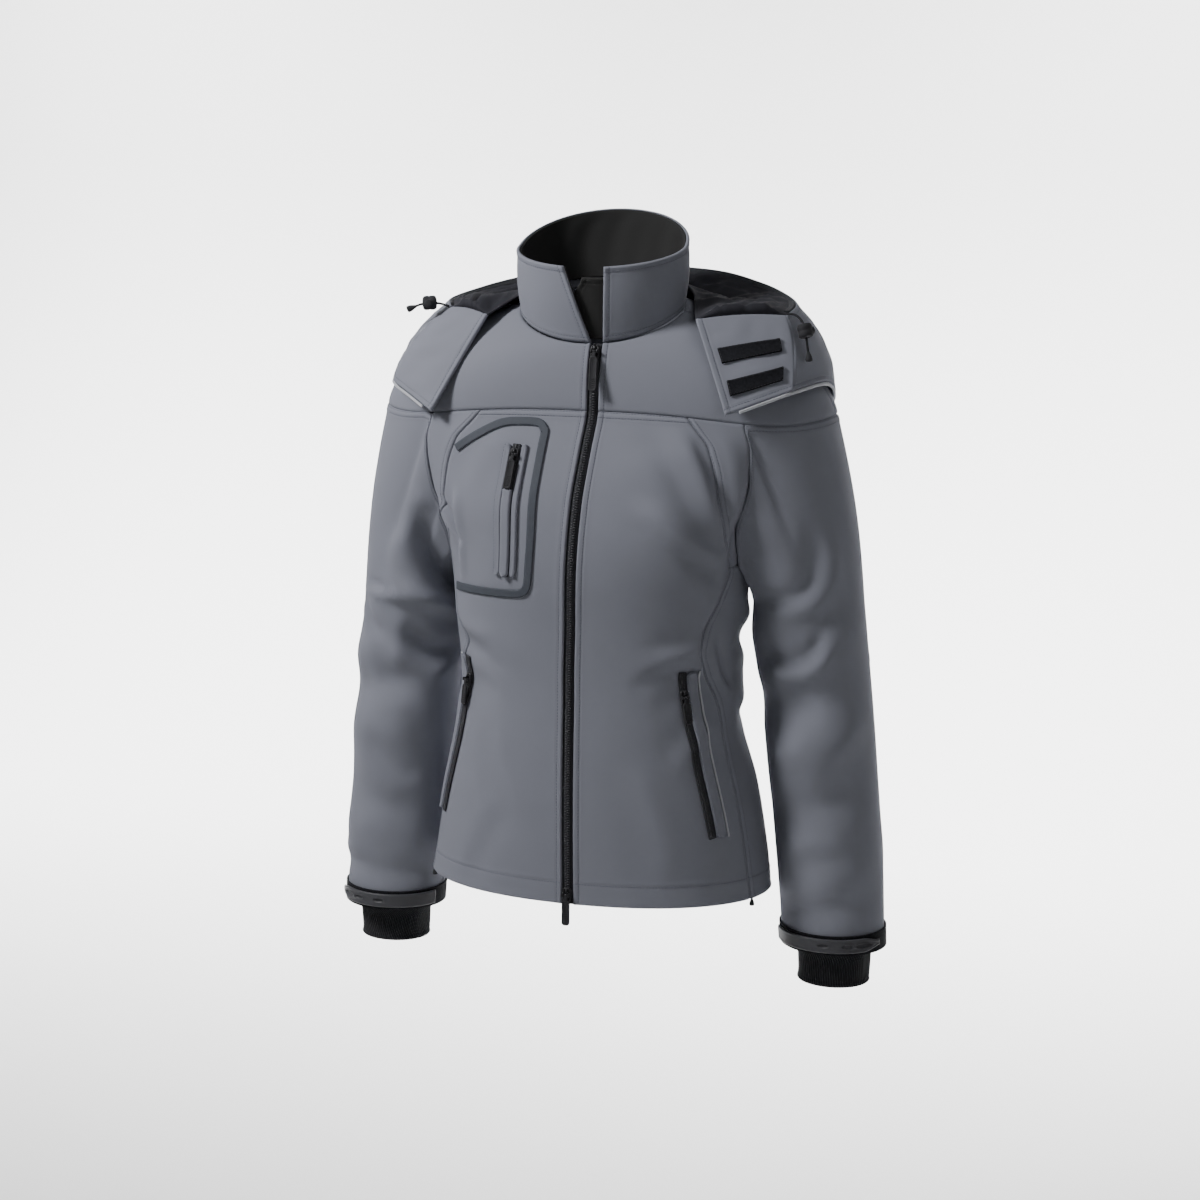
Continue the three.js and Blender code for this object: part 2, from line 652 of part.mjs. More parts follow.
for (const [sideName, side] of [['left', 1], ['right', -1]]) {
  const cuff = STORM_CUFF.map(({ down, inside }) => cuffRing(side, down, -inside));
  addPanel(`storm_cuff_${sideName}`, cuff, 'fleece', { thick: 2, ringed: true, sewn: false });
  const strip = steps(stripTop, stripTop + stripHeight, 2).map((down) => cuffRing(side, down, 2.2));
  addPanel(`cuff_strip_${sideName}`, strip, 'hook', { thick: 1.4, ringed: true, sewn: false });
  const tabAngles = steps(TAB.from, TAB.to, 10).map((angle) => (360 - angle) * degree);
  const tabRow = (height) => tabAngles.map((angle, k) => {
    const nearTip = smooth(2, 0, k);
    const down = stripTop + mix(TAB.high, stripHeight - TAB.low, mix(height, 0.5, nearTip * 0.6));
    return sleeveRing(side, down, angle).addScaledVector(sideways(side, angle), TAB.out + 0.8);
  });
  const tab = [0, 0.5, 1].map(tabRow).map((line) => (side > 0 ? line.reverse() : line));
  addPanel(`cuff_tab_${sideName}`, tab, 'rubber', { thick: 1.8, sewn: false });
}

// Main zip: one row for each row of points on the fronts, from the neck seam to the hem

function zipEdgePoint(side, row) {
  const turn = zipEdge(side)(row);
  return bodyPoint(turn, levelAt(row, turn));
}

const zipRows = [
  ...YOKE_SHARES.slice(0, -1).map((share) => [1, -1].map((side) => (
    yokePoint(neckPoint(neckTurns(side)[0]), zipEdgePoint(side, 0), share)))),
  ...allRows.map((row) => [1, -1].map((side) => zipEdgePoint(side, row))),
];

const zipFrames = zipRows.map(([left, right], k) => {
  const middle = left.clone().add(right).multiplyScalar(0.5);
  const across = left.clone().sub(right).normalize();
  const centre = (row) => row[0].clone().add(row[1]).multiplyScalar(0.5);
  const after = centre(zipRows[min(zipRows.length - 1, k + 1)]);
  const down = after.sub(centre(zipRows[max(0, k - 1)])).normalize();
  return { middle, across, down, out: down.clone().cross(across).normalize() };
});

function zipGrid(halfWidth, out) {
  return zipFrames.map(({ middle, across, out: outward }) => [-halfWidth, halfWidth].map((x) => (
    middle.clone().addScaledVector(across, x).addScaledVector(outward, out))));
}

const tapeInset = 0.5;
addPanel('zip_tape', zipGrid(zipHalfWidth - tapeInset, -1.3), 'black', { thick: 1.1, sewn: false });
addPanel('zip_chain', zipGrid(2.6, 0.5), 'black', { thick: 1.4, sewn: false });

// Strips that lie on the body, drawn in x and down, or in turn and down

function bodyOutward(turn, down) {
  const nudge = 0.03;
  const around = bodyPoint(turn + nudge, down).sub(bodyPoint(turn - nudge, down));
  return bodyPoint(turn, down + 4).sub(bodyPoint(turn, down - 4)).cross(around).normalize();
}

// A point on the flat facets of the front or side panel that covers a place, so that trims lie on the cloth
function panelPoint(turn, down) {
  const side = turn < 0 ? -1 : 1;
  const row = max(0, LEVELS.findIndex((level) => level > down) - 1);
  const rowShare = (down - LEVELS[row]) / (LEVELS[row + 1] - LEVELS[row]);
  const front = seamTurn('front', side);
  const between = (edge) => mix(edge(row), edge(row + 1), rowShare);
  let [near, far, count] = [zipEdge(side), front, frontColumns];
  if (abs(turn) > abs(between(front))) {
    const aboveArmpit = row < armpitRow;
    near = front;
    far = seamTurn(aboveArmpit ? 'armFront' : 'armBack', side);
    count = aboveArmpit ? chestSideColumns : sideColumns;
  }
  const [from, to] = side > 0 ? [near, far] : [far, near];
  const place = count * (turn - between(from)) / (between(to) - between(from));
  const column = max(0, min(count - 1, Math.floor(place)));
  const share = place - column;
  const corner = (i, j) => {
    const cornerTurn = mix(from(i), to(i), j / count);
    return bodyPoint(cornerTurn, levelAt(i, cornerTurn));
  };
  const [a, b, c, d] = [[0, 0], [1, 0], [1, 1], [0, 1]].map(([i, j]) => corner(row + i, column + j));
  if (rowShare >= share) {
    return a.multiplyScalar(1 - rowShare).addScaledVector(b, rowShare - share).addScaledVector(c, share);
  }
  return a.multiplyScalar(1 - share).addScaledVector(d, share - rowShare).addScaledVector(c, rowShare);
}

function onBody(turn, down, out) {
  return panelPoint(turn, down).addScaledVector(bodyOutward(turn, down), out);
}

// A strip of cloth along a path of [turn, down] pairs in degrees and mm
function bodyStrip(path, halfWidth, out, count) {
  const curve = new THREE.CatmullRomCurve3(path.map(([turn, down]) => onBody(turn * degree, down, 0)));
  const flat = new THREE.CatmullRomCurve3(path.map(([turn, down]) => new THREE.Vector3(turn, down, 0)));
  const lines = steps(0, 1, count).map((share) => {
    const { x: turn, y: down } = flat.getPoint(share);
    const outward = bodyOutward(turn * degree, down);
    const run = curve.getTangent(share);
    const across = outward.clone().cross(run).normalize();
    return [-1, 1].map((sideOf) => (
      onBody(turn * degree, down, out).addScaledVector(across, sideOf * halfWidth)));
  });
  return lines;
}

// Pockets

// Paths given as [x, down] pairs are turned into [turn, down] pairs
function fromX(path) {
  return path.map(([x, down]) => [turnAtX(down, x) / degree, down]);
}

const CHEST_TAPE = fromX([
  [-134, 148], [-110, 132], [-84, 120], [-60, 117.5], [-44, 118.5], [-38, 124], [-37, 134], [-40, 200],
  [-43, 262], [-45, 280], [-50, 287], [-62, 289.5], [-100, 291], [-134, 292],
]);
const CHEST_ZIP = fromX([[-64, 140], [-66, 185], [-68, 230], [-70, 272]]);
const HAND_ZIP = {
  left: [[46, 366], [49, 425], [51.5, 480], [54, 540]],
  right: [[-53, 366], [-57, 425], [-60.5, 480], [-64, 540]],
};

addPanel('chest_tape', bodyStrip(CHEST_TAPE, 4.2, 1.7, 34), 'tape', { thick: 0.7, sewn: false });
const stripSteps = 12;
addPanel('chest_zip', bodyStrip(CHEST_ZIP, 4.4, 1.9, stripSteps), 'black', { thick: 1.1, sewn: false });

// Moves a path round the body by a distance in mm, + to the wearer's left
function shifted(path, distance) {
  return path.map(([turn, down]) => {
    const [before, after] = [-0.5, 0.5].map((step) => bodyPoint((turn + step) * degree, down));
    const oneDegree = before.distanceTo(after);
    return [turn + distance / oneDegree, down];
  });
}

const CHEST_WELT = {
  outer: { shift: -9.6, half: 4.2, out: 2.6, thick: 1.8 },
  inner: { shift: 9, half: 3.4, out: 2.2, thick: 1.4 },
};
const HAND_WELT = { shift: 11, half: 6.2, out: 3, thick: 2.1 };
const HAND_PIPING = { shift: 19.4, half: 1.1, out: 2.6, thick: 1.6 };

function addWelt(name, path, { shift, half, out, thick }, side, finish) {
  const strip = bodyStrip(shifted(path, side * shift), half, out, stripSteps);
  addPanel(name, strip, finish, { thick, sewn: false });
}

addWelt('chest_welt_outer', CHEST_ZIP, CHEST_WELT.outer, 1, 'shell');
addWelt('chest_welt_inner', CHEST_ZIP, CHEST_WELT.inner, 1, 'shell');

for (const [sideName, side] of [['left', 1], ['right', -1]]) {
  const path = HAND_ZIP[sideName];
  addPanel(`hand_zip_${sideName}`, bodyStrip(path, 4, 1.9, stripSteps), 'black', { thick: 1.1, sewn: false });
  addWelt(`hand_welt_${sideName}`, path, HAND_WELT, side, 'shell');
  addWelt(`hand_piping_${sideName}`, path, HAND_PIPING, side, 'piping');
}

// Hood, thrown back round the collar. inner: its edge by the collar, rim: the face opening, low: the lowest line,
// bulge: how far the outside swells, sag: how far the lining hangs.
// Stations run from the wearer's left round the back
const HOOD = [
  { inner: [109, -28, -12], rim: [196, 2, -8], low: [213, -36, -80], bulge: 5, sag: -3 },
  { inner: [98, 8, 0], rim: [196, 40, -2], low: [233, 30, -78], bulge: 9, sag: 5 },
  { inner: [89, 40, 8], rim: [178, 82, 4], low: [226, 86, -104], bulge: 16, sag: 13 },
  { inner: [70, 68, 18], rim: [140, 122, 14], low: [186, 108, -140], bulge: 25, sag: 25 },
  { inner: [38, 83, 24], rim: [84, 150, 24], low: [112, 126, -182], bulge: 31, sag: 33 },
  { inner: [0, 88, 26], rim: [0, 162, 27], low: [0, 129, -200], bulge: 34, sag: 36 },
  { inner: [-38, 83, 24], rim: [-84, 150, 23], low: [-112, 126, -182], bulge: 30, sag: 33 },
  { inner: [-70, 68, 18], rim: [-140, 122, 12], low: [-186, 108, -140], bulge: 25, sag: 25 },
  { inner: [-89, 40, 8], rim: [-170, 80, 2], low: [-226, 86, -104], bulge: 16, sag: 13 },
  { inner: [-99, 8, 0], rim: [-178, 42, -4], low: [-234, 28, -82], bulge: 12, sag: 5 },
  { inner: [-115, -22, -14], rim: [-166, 8, -9], low: [-217, -30, -86], bulge: 12, sag: -3 },
];

const hoodAlong = (edge) => (
  new THREE.CatmullRomCurve3(HOOD.map((station) => new THREE.Vector3(...station[edge]))));
const hoodSizes = new THREE.CatmullRomCurve3(HOOD.map(({ bulge, sag }) => new THREE.Vector3(bulge, sag, 0)));
const hoodCurves = { inner: hoodAlong('inner'), rim: hoodAlong('rim'), low: hoodAlong('low') };
const hoodColumns = 24;
const hoodRows = 5;

function outwardFromNeck(point) {
  return new THREE.Vector3(point.x, point.y - NECK.side, 0).normalize();
}

// The outside of the hood: share 0 at the rim to 1 at the lowest line
function hoodOuter(station, share) {
  const rim = hoodCurves.rim.getPoint(station);
  const low = hoodCurves.low.getPoint(station);
  const swell = hoodSizes.getPoint(station).x;
  const outward = outwardFromNeck(rim.clone().add(low));
  const control = rim.clone().lerp(low, 0.42).addScaledVector(outward, 2 * swell);
  return new THREE.QuadraticBezierCurve3(rim, control, low).getPoint(share);
}

// The lining: share 0 by the collar to 1 at the rim
function hoodInner(station, share) {
  const inner = hoodCurves.inner.getPoint(station);
  const rim = hoodCurves.rim.getPoint(station);
  const hang = hoodSizes.getPoint(station).y * 4 * share * (1 - share);
  return inner.lerp(rim, share).add(new THREE.Vector3(0, 0, -hang));
}

const hoodStations = steps(0, 1, hoodColumns);
const hoodGrid = steps(0, 1, hoodRows).map((share) => hoodStations.map((at) => hoodOuter(at, share)));
addPanel('hood_shell', hoodGrid, 'shell');

// The lining starts at the zip on the neck seam, close to the foot of the collar
function hoodFoot(station) {
  const inner = hoodCurves.inner.getPoint(station);
  const turn = (Math.atan2(inner.x, NECK.side - inner.y) + 2 * PI) % (2 * PI);
  return collarPoint(turn, 0.07).addScaledVector(outwardFromNeck(inner), 1.1);
}

const liningRows = steps(0, 1, hoodRows).map((share) => hoodStations.map((at) => hoodInner(at, share)));
addPanel('hood_lining', [hoodStations.map(hoodFoot), ...liningRows], 'lining');

// The front corners of the hood lie on the yoke. foot: where the free corner ends,
// bow: how far the flap curves out
const HOOD_FLAPS = {
  left: { station: 0, foot: [152, -70, -103], bow: 5 },
  right: { station: 1, foot: [-160, -70, -110], bow: 9 },
};

// u runs from the free edge by the collar to the hood, v from the top to the bottom
function flapPoint(flap, u, v) {
  const { station, foot, bow } = flap;
  const top = hoodInner(station, u);
  const outerEdge = hoodOuter(station, v);
  const free = hoodInner(station, 0).lerp(new THREE.Vector3(...foot), v);
  const corner = hoodInner(station, 1);
  const bottom = new THREE.Vector3(...foot).lerp(hoodOuter(station, 1), u);
  const point = top.multiplyScalar(1 - v).addScaledVector(bottom, v)
    .addScaledVector(free, 1 - u).addScaledVector(outerEdge, u)
    .addScaledVector(hoodInner(station, 0), -(1 - u) * (1 - v)).addScaledVector(corner, -u * (1 - v))
    .addScaledVector(new THREE.Vector3(...foot), -(1 - u) * v).addScaledVector(hoodOuter(station, 1), -u * v);
  const lift = bow * sin(u * PI) * sin(v * PI);
  return point.addScaledVector(outwardFromNeck(point), lift);
}

function flapGrid(flap, us, vs, out = 0) {
  const grid = vs.map((v) => us.map((u) => {
    const point = flapPoint(flap, u, v);
    if (out === 0) return point;
    const nudge = 0.02;
    const across = flapPoint(flap, u + nudge, v).sub(flapPoint(flap, u - nudge, v));
    const down = flapPoint(flap, u, v + nudge).sub(flapPoint(flap, u, v - nudge));
    const facing = flap.station === 0 ? out : -out;
    return point.addScaledVector(down.cross(across).normalize(), facing);
  }));
  return flap.station === 0 ? grid : grid.map((line) => line.reverse());
}

for (const [sideName, flap] of Object.entries(HOOD_FLAPS)) {
  addPanel(`hood_flap_${sideName}`, flapGrid(flap, steps(0, 1, hoodRows), steps(0, 1, hoodRows)), 'shell');
}

const HOOK_PATCHES = { upper: [0.34, 0.5], lower: [0.68, 0.84] };
for (const [place, [top, bottom]] of Object.entries(HOOK_PATCHES)) {
  const patch = flapGrid(HOOD_FLAPS.left, steps(0.12, 0.82, 6), steps(top, bottom, 2), 1.9);
  addPanel(`hook_patch_${place}`, patch, 'hook', { thick: 1.2, sewn: false });
}

// A pale piping finishes the bottom of each front corner and runs on along the hood's lowest line
const PIPING = { fall: 3.2, gap: 0.5, thick: 1.6, flapFrom: 0.2, stations: 6 };

function pipingColumns(flap) {
  const onFlap = steps(PIPING.flapFrom, 0.9, 3).map((u) => [flapPoint(flap, u, 0.95), flapPoint(flap, u, 1)]);
  const stations = hoodStations.slice(0, PIPING.stations).map((at) => (flap.station === 0 ? at : 1 - at));
  const onShell = stations.map((at) => [hoodOuter(at, 0.95), hoodOuter(at, 1)]);
  return [...onFlap, ...onShell];
}

for (const [sideName, flap] of Object.entries(HOOD_FLAPS)) {
  const columns = pipingColumns(flap);
  const grid = [PIPING.gap, PIPING.gap + PIPING.fall].map((distance) => columns.map(([above, edge]) => (
    edge.clone().addScaledVector(edge.clone().sub(above).normalize(), distance))));
  const ordered = flap.station === 0 ? grid : grid.map((line) => line.reverse());
  addPanel(`hood_piping_${sideName}`, ordered, 'piping', { thick: PIPING.thick, sewn: false });
}

sewPanels();

// Hard pieces are drawn with x across, y up and z outwards, then placed on the cloth

const wasm = await Module();
wasm.setup();

function toSolid(geometry) {
  const bare = geometry.clone();
  bare.deleteAttribute('normal');
  bare.deleteAttribute('uv');
  const merged = mergeVertices(bare, 1e-4);
  const triVerts = new Uint32Array(merged.index.array);
  const vertProperties = merged.attributes.position.array;
  return new wasm.Manifold(new wasm.Mesh({ numProp: 3, vertProperties, triVerts }));
}

function joined(geometries) {
  const whole = geometries.map(toSolid).reduce((sum, solid) => sum.add(solid));
  const { vertProperties, triVerts } = whole.getMesh();
  const geometry = new THREE.BufferGeometry();
  geometry.setAttribute('position', new THREE.Float32BufferAttribute(vertProperties, 3));
  geometry.setIndex([...triVerts]);
  return geometry;
}

function roundedOutline(wide, tall, corner) {
  const x = wide / 2;
  const y = tall / 2;
  const outline = new THREE.Shape();
  outline.moveTo(x - corner, -y);
  outline.quadraticCurveTo(x, -y, x, -y + corner);
  outline.lineTo(x, y - corner);
  outline.quadraticCurveTo(x, y, x - corner, y);
  outline.lineTo(-x + corner, y);
  outline.quadraticCurveTo(-x, y, -x, y - corner);
  outline.lineTo(-x, -y + corner);
  outline.quadraticCurveTo(-x, -y, -x + corner, -y);
  return outline;
}

function slab(wide, tall, corner, thick, curveSegments = 2) {
  const outline = roundedOutline(wide, tall, corner);
  return new THREE.ExtrudeGeometry(outline, { depth: thick, bevelEnabled: false, curveSegments });
}

const SLIDER = {
  wide: 9, tall: 15, corner: 2.5, thick: 3, earAt: 2.4, earWide: 1.3, earDeep: 3.4, axisOut: 4.9,
};
const PULL = { barrel: 1.25, halfBarrel: 2, neckLong: 6.5, neckThick: 1.6, wide: 8.5, thick: 2.2 };

function sliderGeometry() {
  const plate = slab(SLIDER.wide, SLIDER.tall, SLIDER.corner, SLIDER.thick);
  const ears = [-1, 1].map((sideOf) => {
    const earTall = SLIDER.axisOut + 1.8 - SLIDER.thick + 0.5;
    const ear = new THREE.BoxGeometry(SLIDER.earWide, SLIDER.earDeep, earTall);
    return ear.translate(sideOf * (SLIDER.earAt + SLIDER.earWide / 2), 0, SLIDER.thick - 0.5 + earTall / 2);
  });
  return joined([plate, ...ears]);
}

// The pull turns on its barrel, which is at its own origin, and hangs along -y
function pullGeometry(long) {
  const barrel = new THREE.CylinderGeometry(PULL.barrel, PULL.barrel, 2 * PULL.halfBarrel, 12);
  barrel.rotateZ(PI / 2);
  const neck = new THREE.BoxGeometry(2 * PULL.halfBarrel - 0.2, PULL.neckLong, PULL.neckThick);
  neck.translate(0, -PULL.neckLong / 2, 0);
  const tabLong = long - PULL.neckLong + 1;
  const tab = slab(PULL.wide, tabLong, 3, PULL.thick).translate(0, -(long - tabLong / 2), -PULL.thick / 2);
  return joined([barrel, neck, tab]);
}

function placeOn(group, { middle, across, out }, offset) {
  const up = out.clone().cross(across);
  const basis = new THREE.Matrix4().makeBasis(across, up, out);
  group.setRotationFromMatrix(basis);
  group.position.copy(middle).addScaledVector(out, offset);
  jacket.add(group);
}

function addSlider(place, frame, offset, pullLong) {
  const group = new THREE.Group();
  placeOn(group, frame, offset);
  addMesh(`zip_slider_${place}`, sliderGeometry(), 'metal', group);
  const pull = addMesh(`zip_pull_${place}`, pullGeometry(pullLong), 'rubber', group);
  pull.position.set(0, 0, SLIDER.axisOut);
}

function zipFrameAt(down) {
  let k = 0;
  while (k < zipFrames.length - 2 && -zipFrames[k + 1].middle.z < down) k += 1;
  const [a, b] = [zipFrames[k], zipFrames[k + 1]];
  const share = (down + a.middle.z) / (a.middle.z - b.middle.z);
  const between = (key) => a[key].clone().lerp(b[key], share);
  const run = b.middle.clone().sub(a.middle).normalize();
  const across = between('across').addScaledVector(run, -between('across').dot(run)).normalize();
  return { middle: between('middle'), across, out: run.clone().cross(across).normalize() };
}

// The frame of a point on a pocket zip, whose path is given in turn and down
function pocketFrame(path, share) {
  const flat = new THREE.CatmullRomCurve3(path.map(([turn, down]) => new THREE.Vector3(turn, down, 0)));
  const at = (value) => {
    const { x, y } = flat.getPoint(value);
    return onBody(x * degree, y, 0);
  };
  const { x: turn, y: down } = flat.getPoint(share);
  const out = bodyOutward(turn * degree, down);
  const run = at(share + 0.03).sub(at(share - 0.03)).normalize();
  const across = out.clone().cross(run).normalize();
  return { middle: at(share), across, out: run.clone().cross(across).normalize() };
}

const onChain = 1;
const onPocketZip = 2.8;
addSlider('top', zipFrameAt(47), onChain, 42);
addSlider('bottom', zipFrameAt(599), onChain, 32);
addSlider('chest', pocketFrame(CHEST_ZIP, 0.09), onPocketZip, 36);
addSlider('hand_left', pocketFrame(HAND_ZIP.left, 0.15), onPocketZip, 28);
addSlider('hand_right', pocketFrame(HAND_ZIP.right, 0.15), onPocketZip, 28);

// Drawcords of the hood: each leaves the rim, passes its lock and ends in a bell

const cordRadius = 1.25;
const LOCK = { hole: 2.1, radius: 7.5, half: 7, soft: 2 };
const BELL = { tip: 1.6, mouth: 3.6, long: 10 };
const HOOD_CORDS = {
  left: {
    path: [
      [196.9, 1.5, -7.6], [205, -2.6, -7.9], [212, -7, -12], [216.5, -10, -19],
      [219, -12, -27], [220.5, -13.5, -35], [222, -15, -43],
    ],
    lockAt: 0.6,
  },
  right: {
    path: [
      [-168, 7.1, -9.4], [-173.5, 4.9, -7.4], [-179, 3.2, -6.2], [-185, 2, -5.8],
      [-191, 0.8, -6.2], [-197, -0.2, -7.6], [-202, -1, -9.5],
    ],
    lockAt: 0.58,
  },
};

function circleShape(radius, sides) {
  const angles = steps(0, 2 * PI, sides).slice(0, -1);
  return new THREE.Shape(angles.map((angle) => new THREE.Vector2(radius * cos(angle), radius * sin(angle))));
}

function alongAxis(geometry, at, direction) {
  const turn = new THREE.Quaternion();
  turn.setFromUnitVectors(new THREE.Vector3(0, 1, 0), direction.clone().normalize());
  return geometry.applyQuaternion(turn).translate(at.x, at.y, at.z);
}

function lathe(profile, sides) {
  return new THREE.LatheGeometry(profile.map(([radius, height]) => new THREE.Vector2(radius, height)), sides);
}

function lockGeometry() {
  const { hole, radius, half, soft } = LOCK;
  return lathe([
    [hole, -half], [radius - soft, -half], [radius, soft - half],
    [radius, half - soft], [radius - soft, half], [hole, half], [hole, -half],
  ], 14);
}

function bellGeometry() {
  const { tip, mouth, long } = BELL;
  return lathe([
    [0, 0], [tip, 0], [mouth * 0.8, long * 0.45],
    [mouth, long * 0.8], [mouth * 0.85, long], [0, long],
  ], 12);
}

for (const [sideName, { path, lockAt }] of Object.entries(HOOD_CORDS)) {
  const route = new THREE.CatmullRomCurve3(path.map((place) => new THREE.Vector3(...place)));
  const along = { steps: 12, extrudePath: route, bevelEnabled: false };
  const cord = new THREE.ExtrudeGeometry(circleShape(cordRadius, 8), along);
  addMesh(`hood_cord_${sideName}`, cord, 'black');
  const middle = route.getPointAt(lockAt);
  const lock = alongAxis(lockGeometry(), middle, route.getTangentAt(lockAt));
  addMesh(`hood_cord_lock_${sideName}`, lock, 'rubber');
  const end = route.getPointAt(1);
  const tangent = route.getTangentAt(1);
  const bell = alongAxis(bellGeometry(), end.addScaledVector(tangent, seamGap), tangent);
  addMesh(`hood_cord_bell_${sideName}`, bell, 'rubber');
}

// The hem's drawcord ends in a small bell below each side
const HEM_BELL_TURNS = { left: 74, right: -74 };
for (const [sideName, turn] of Object.entries(HEM_BELL_TURNS)) {
  const hemTurn = turn * degree;
  const edge = bodyPoint(hemTurn, hemAt(hemTurn));
  edge.addScaledVector(bodyOutward(hemTurn, hemDown), -shellThick / 2);
  const below = edge.add(new THREE.Vector3(0, 0, -seamGap));
  const small = bellGeometry().scale(0.7, 0.8, 0.7);
  addMesh(`hem_cord_bell_${sideName}`, alongAxis(small, below, new THREE.Vector3(0, 0, -1)), 'rubber');
}

export default jacket;
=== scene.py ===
"""Dresses a hooded softshell jacket: cloth panels, seams, zips, pockets, cuffs, hood and cords."""

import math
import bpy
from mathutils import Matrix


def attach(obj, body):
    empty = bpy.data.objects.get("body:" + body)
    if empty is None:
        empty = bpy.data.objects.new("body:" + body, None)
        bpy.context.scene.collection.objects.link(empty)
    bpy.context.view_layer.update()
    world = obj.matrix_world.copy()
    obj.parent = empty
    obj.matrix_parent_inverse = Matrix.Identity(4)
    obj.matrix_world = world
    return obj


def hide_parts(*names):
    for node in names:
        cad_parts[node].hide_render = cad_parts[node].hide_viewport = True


bl_info = {
    "name": "Hooded Softshell Jacket",
    "version": (1, 0, 0),
    "blender": (4, 5, 0),
    "location": "View3D > Sidebar > Jacket",
    "description": "Builds the cloth, seams, zips and trims of a hooded softshell jacket",
    "category": "Add Mesh",
}

from collections import namedtuple

import bpy
import numpy as np
from bpy.props import FloatProperty, FloatVectorProperty, PointerProperty
from mathutils import Vector

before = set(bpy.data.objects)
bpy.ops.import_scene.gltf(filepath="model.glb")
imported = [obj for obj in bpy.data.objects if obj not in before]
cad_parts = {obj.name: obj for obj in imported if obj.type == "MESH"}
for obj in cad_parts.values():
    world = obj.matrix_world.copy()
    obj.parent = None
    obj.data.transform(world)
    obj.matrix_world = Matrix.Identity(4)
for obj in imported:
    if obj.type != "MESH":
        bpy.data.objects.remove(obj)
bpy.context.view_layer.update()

# Sizes are in millimetres and are turned into metres where a mesh is made
MM = 0.001
DEGREE = math.pi / 180
BODY_NAME = "garment"

# Lengths measured down from the side neck point
YOKE_DOWN = 105
ARMPIT_DOWN = 262
HEM_DOWN = 610
TAIL_DROP = 12
CUFF_DOWN = 672
ZIP_HALF = 6

Section = namedtuple("Section", "down half front side back square")
BODY = [
    Section(95, 241, -58, 36, 104, 2.8),
    Section(112, 241, -63, 35, 109, 2.8),
    Section(150, 216, -79, 30, 115, 2.7),
    Section(190, 187, -93, 21, 115, 2.6),
    Section(230, 167, -103, 12, 110, 2.5),
    Section(270, 158, -106, 8, 103, 2.4),
    Section(330, 154, -102, 4, 93, 2.3),
    Section(385, 149, -100, 0, 88, 2.3),
    Section(440, 153, -103, 0, 94, 2.25),
    Section(520, 169, -109, 0, 105, 2.2),
    Section(630, 187, -114, 0, 113, 2.2),
]

# Where the seams run round the body, in degrees from the centre front; zip is the x of the centre front
Seam = namedtuple("Seam", "down zip front arm_front arm_back")
SEAMS = [
    Seam(95, 11, 17, 35, 143),
    Seam(112, 11, 21, 38, 140),
    Seam(135, 9, 29, 43.5, 135),
    Seam(160, 7, 37, 50.5, 130),
    Seam(185, 5, 45, 58, 126),
    Seam(210, 4, 53, 65, 122.5),
    Seam(235, 3, 61, 71, 120),
    Seam(262, 2, 70, 76, 118),
    Seam(290, 1, 65, 76, 118),
    Seam(322, 0, 56, 76, 118.5),
    Seam(345, -1, 53, 76, 119),
    Seam(370, -2, 60, 76, 119.5),
    Seam(400, -2, 68, 76, 120),
    Seam(440, -2, 71, 76, 120),
    Seam(520, -1, 73, 76, 119),
    Seam(630, 1, 72, 76, 118),
]

Tube = namedtuple("Tube", "down x y wide deep")
SLEEVE = [
    Tube(262, 212, 34, 56, 64),
    Tube(300, 216, 34, 57, 63),
    Tube(345, 218, 34, 60, 61),
    Tube(412, 227, 34, 58, 59),
    Tube(477, 233.5, 34, 57.5, 57),
    Tube(585, 244, 33, 56, 52),
    Tube(680, 250, 32, 54, 48),
]
SLEEVE_JOIN = 306

Loop = namedtuple("Loop", "half front side back front_z side_z back_z")
NECK = Loop(86, -46, 8, 72, -38, -8, 12)
RIM = Loop(89, -60, 8, 84, 39, 57, 91)
COLLAR_OPEN = {"left": 22, "right": -21}

# Large folds of the body. Ends are [turn in degrees, down]; depth is outwards, width is half the fold's width
Fold = namedtuple("Fold", "start end depth width bow", defaults=[0])
BODY_FOLDS = [
    Fold((-6, 190), (-58, 215), 4, 26),
    Fold((14, 150), (48, 232), 5, 20),
    Fold((22, 165), (58, 262), -5, 18),
    Fold((20, 205), (54, 285), 4, 22),
    Fold((-60, 300), (-25, 360), 4, 24),
    Fold((-70, 380), (-35, 400), -4, 22),
    Fold((70, 375), (35, 395), -4, 22),
    Fold((78, 400), (110, 385), 4, 20),
    Fold((150, 330), (200, 350), 4, 24),
    Fold((-150, 375), (-205, 392), -5, 24),
    Fold((135, 200), (160, 290), -5, 26),
    Fold((-135, 200), (-160, 290), -5, 26),
    Fold((170, 470), (176, 600), 4, 30),
    Fold((-120, 480), (-112, 600), 5, 28),
    Fold((100, 470), (92, 600), 5, 28),
    Fold((-95, 440), (-88, 600), -4, 26),
]

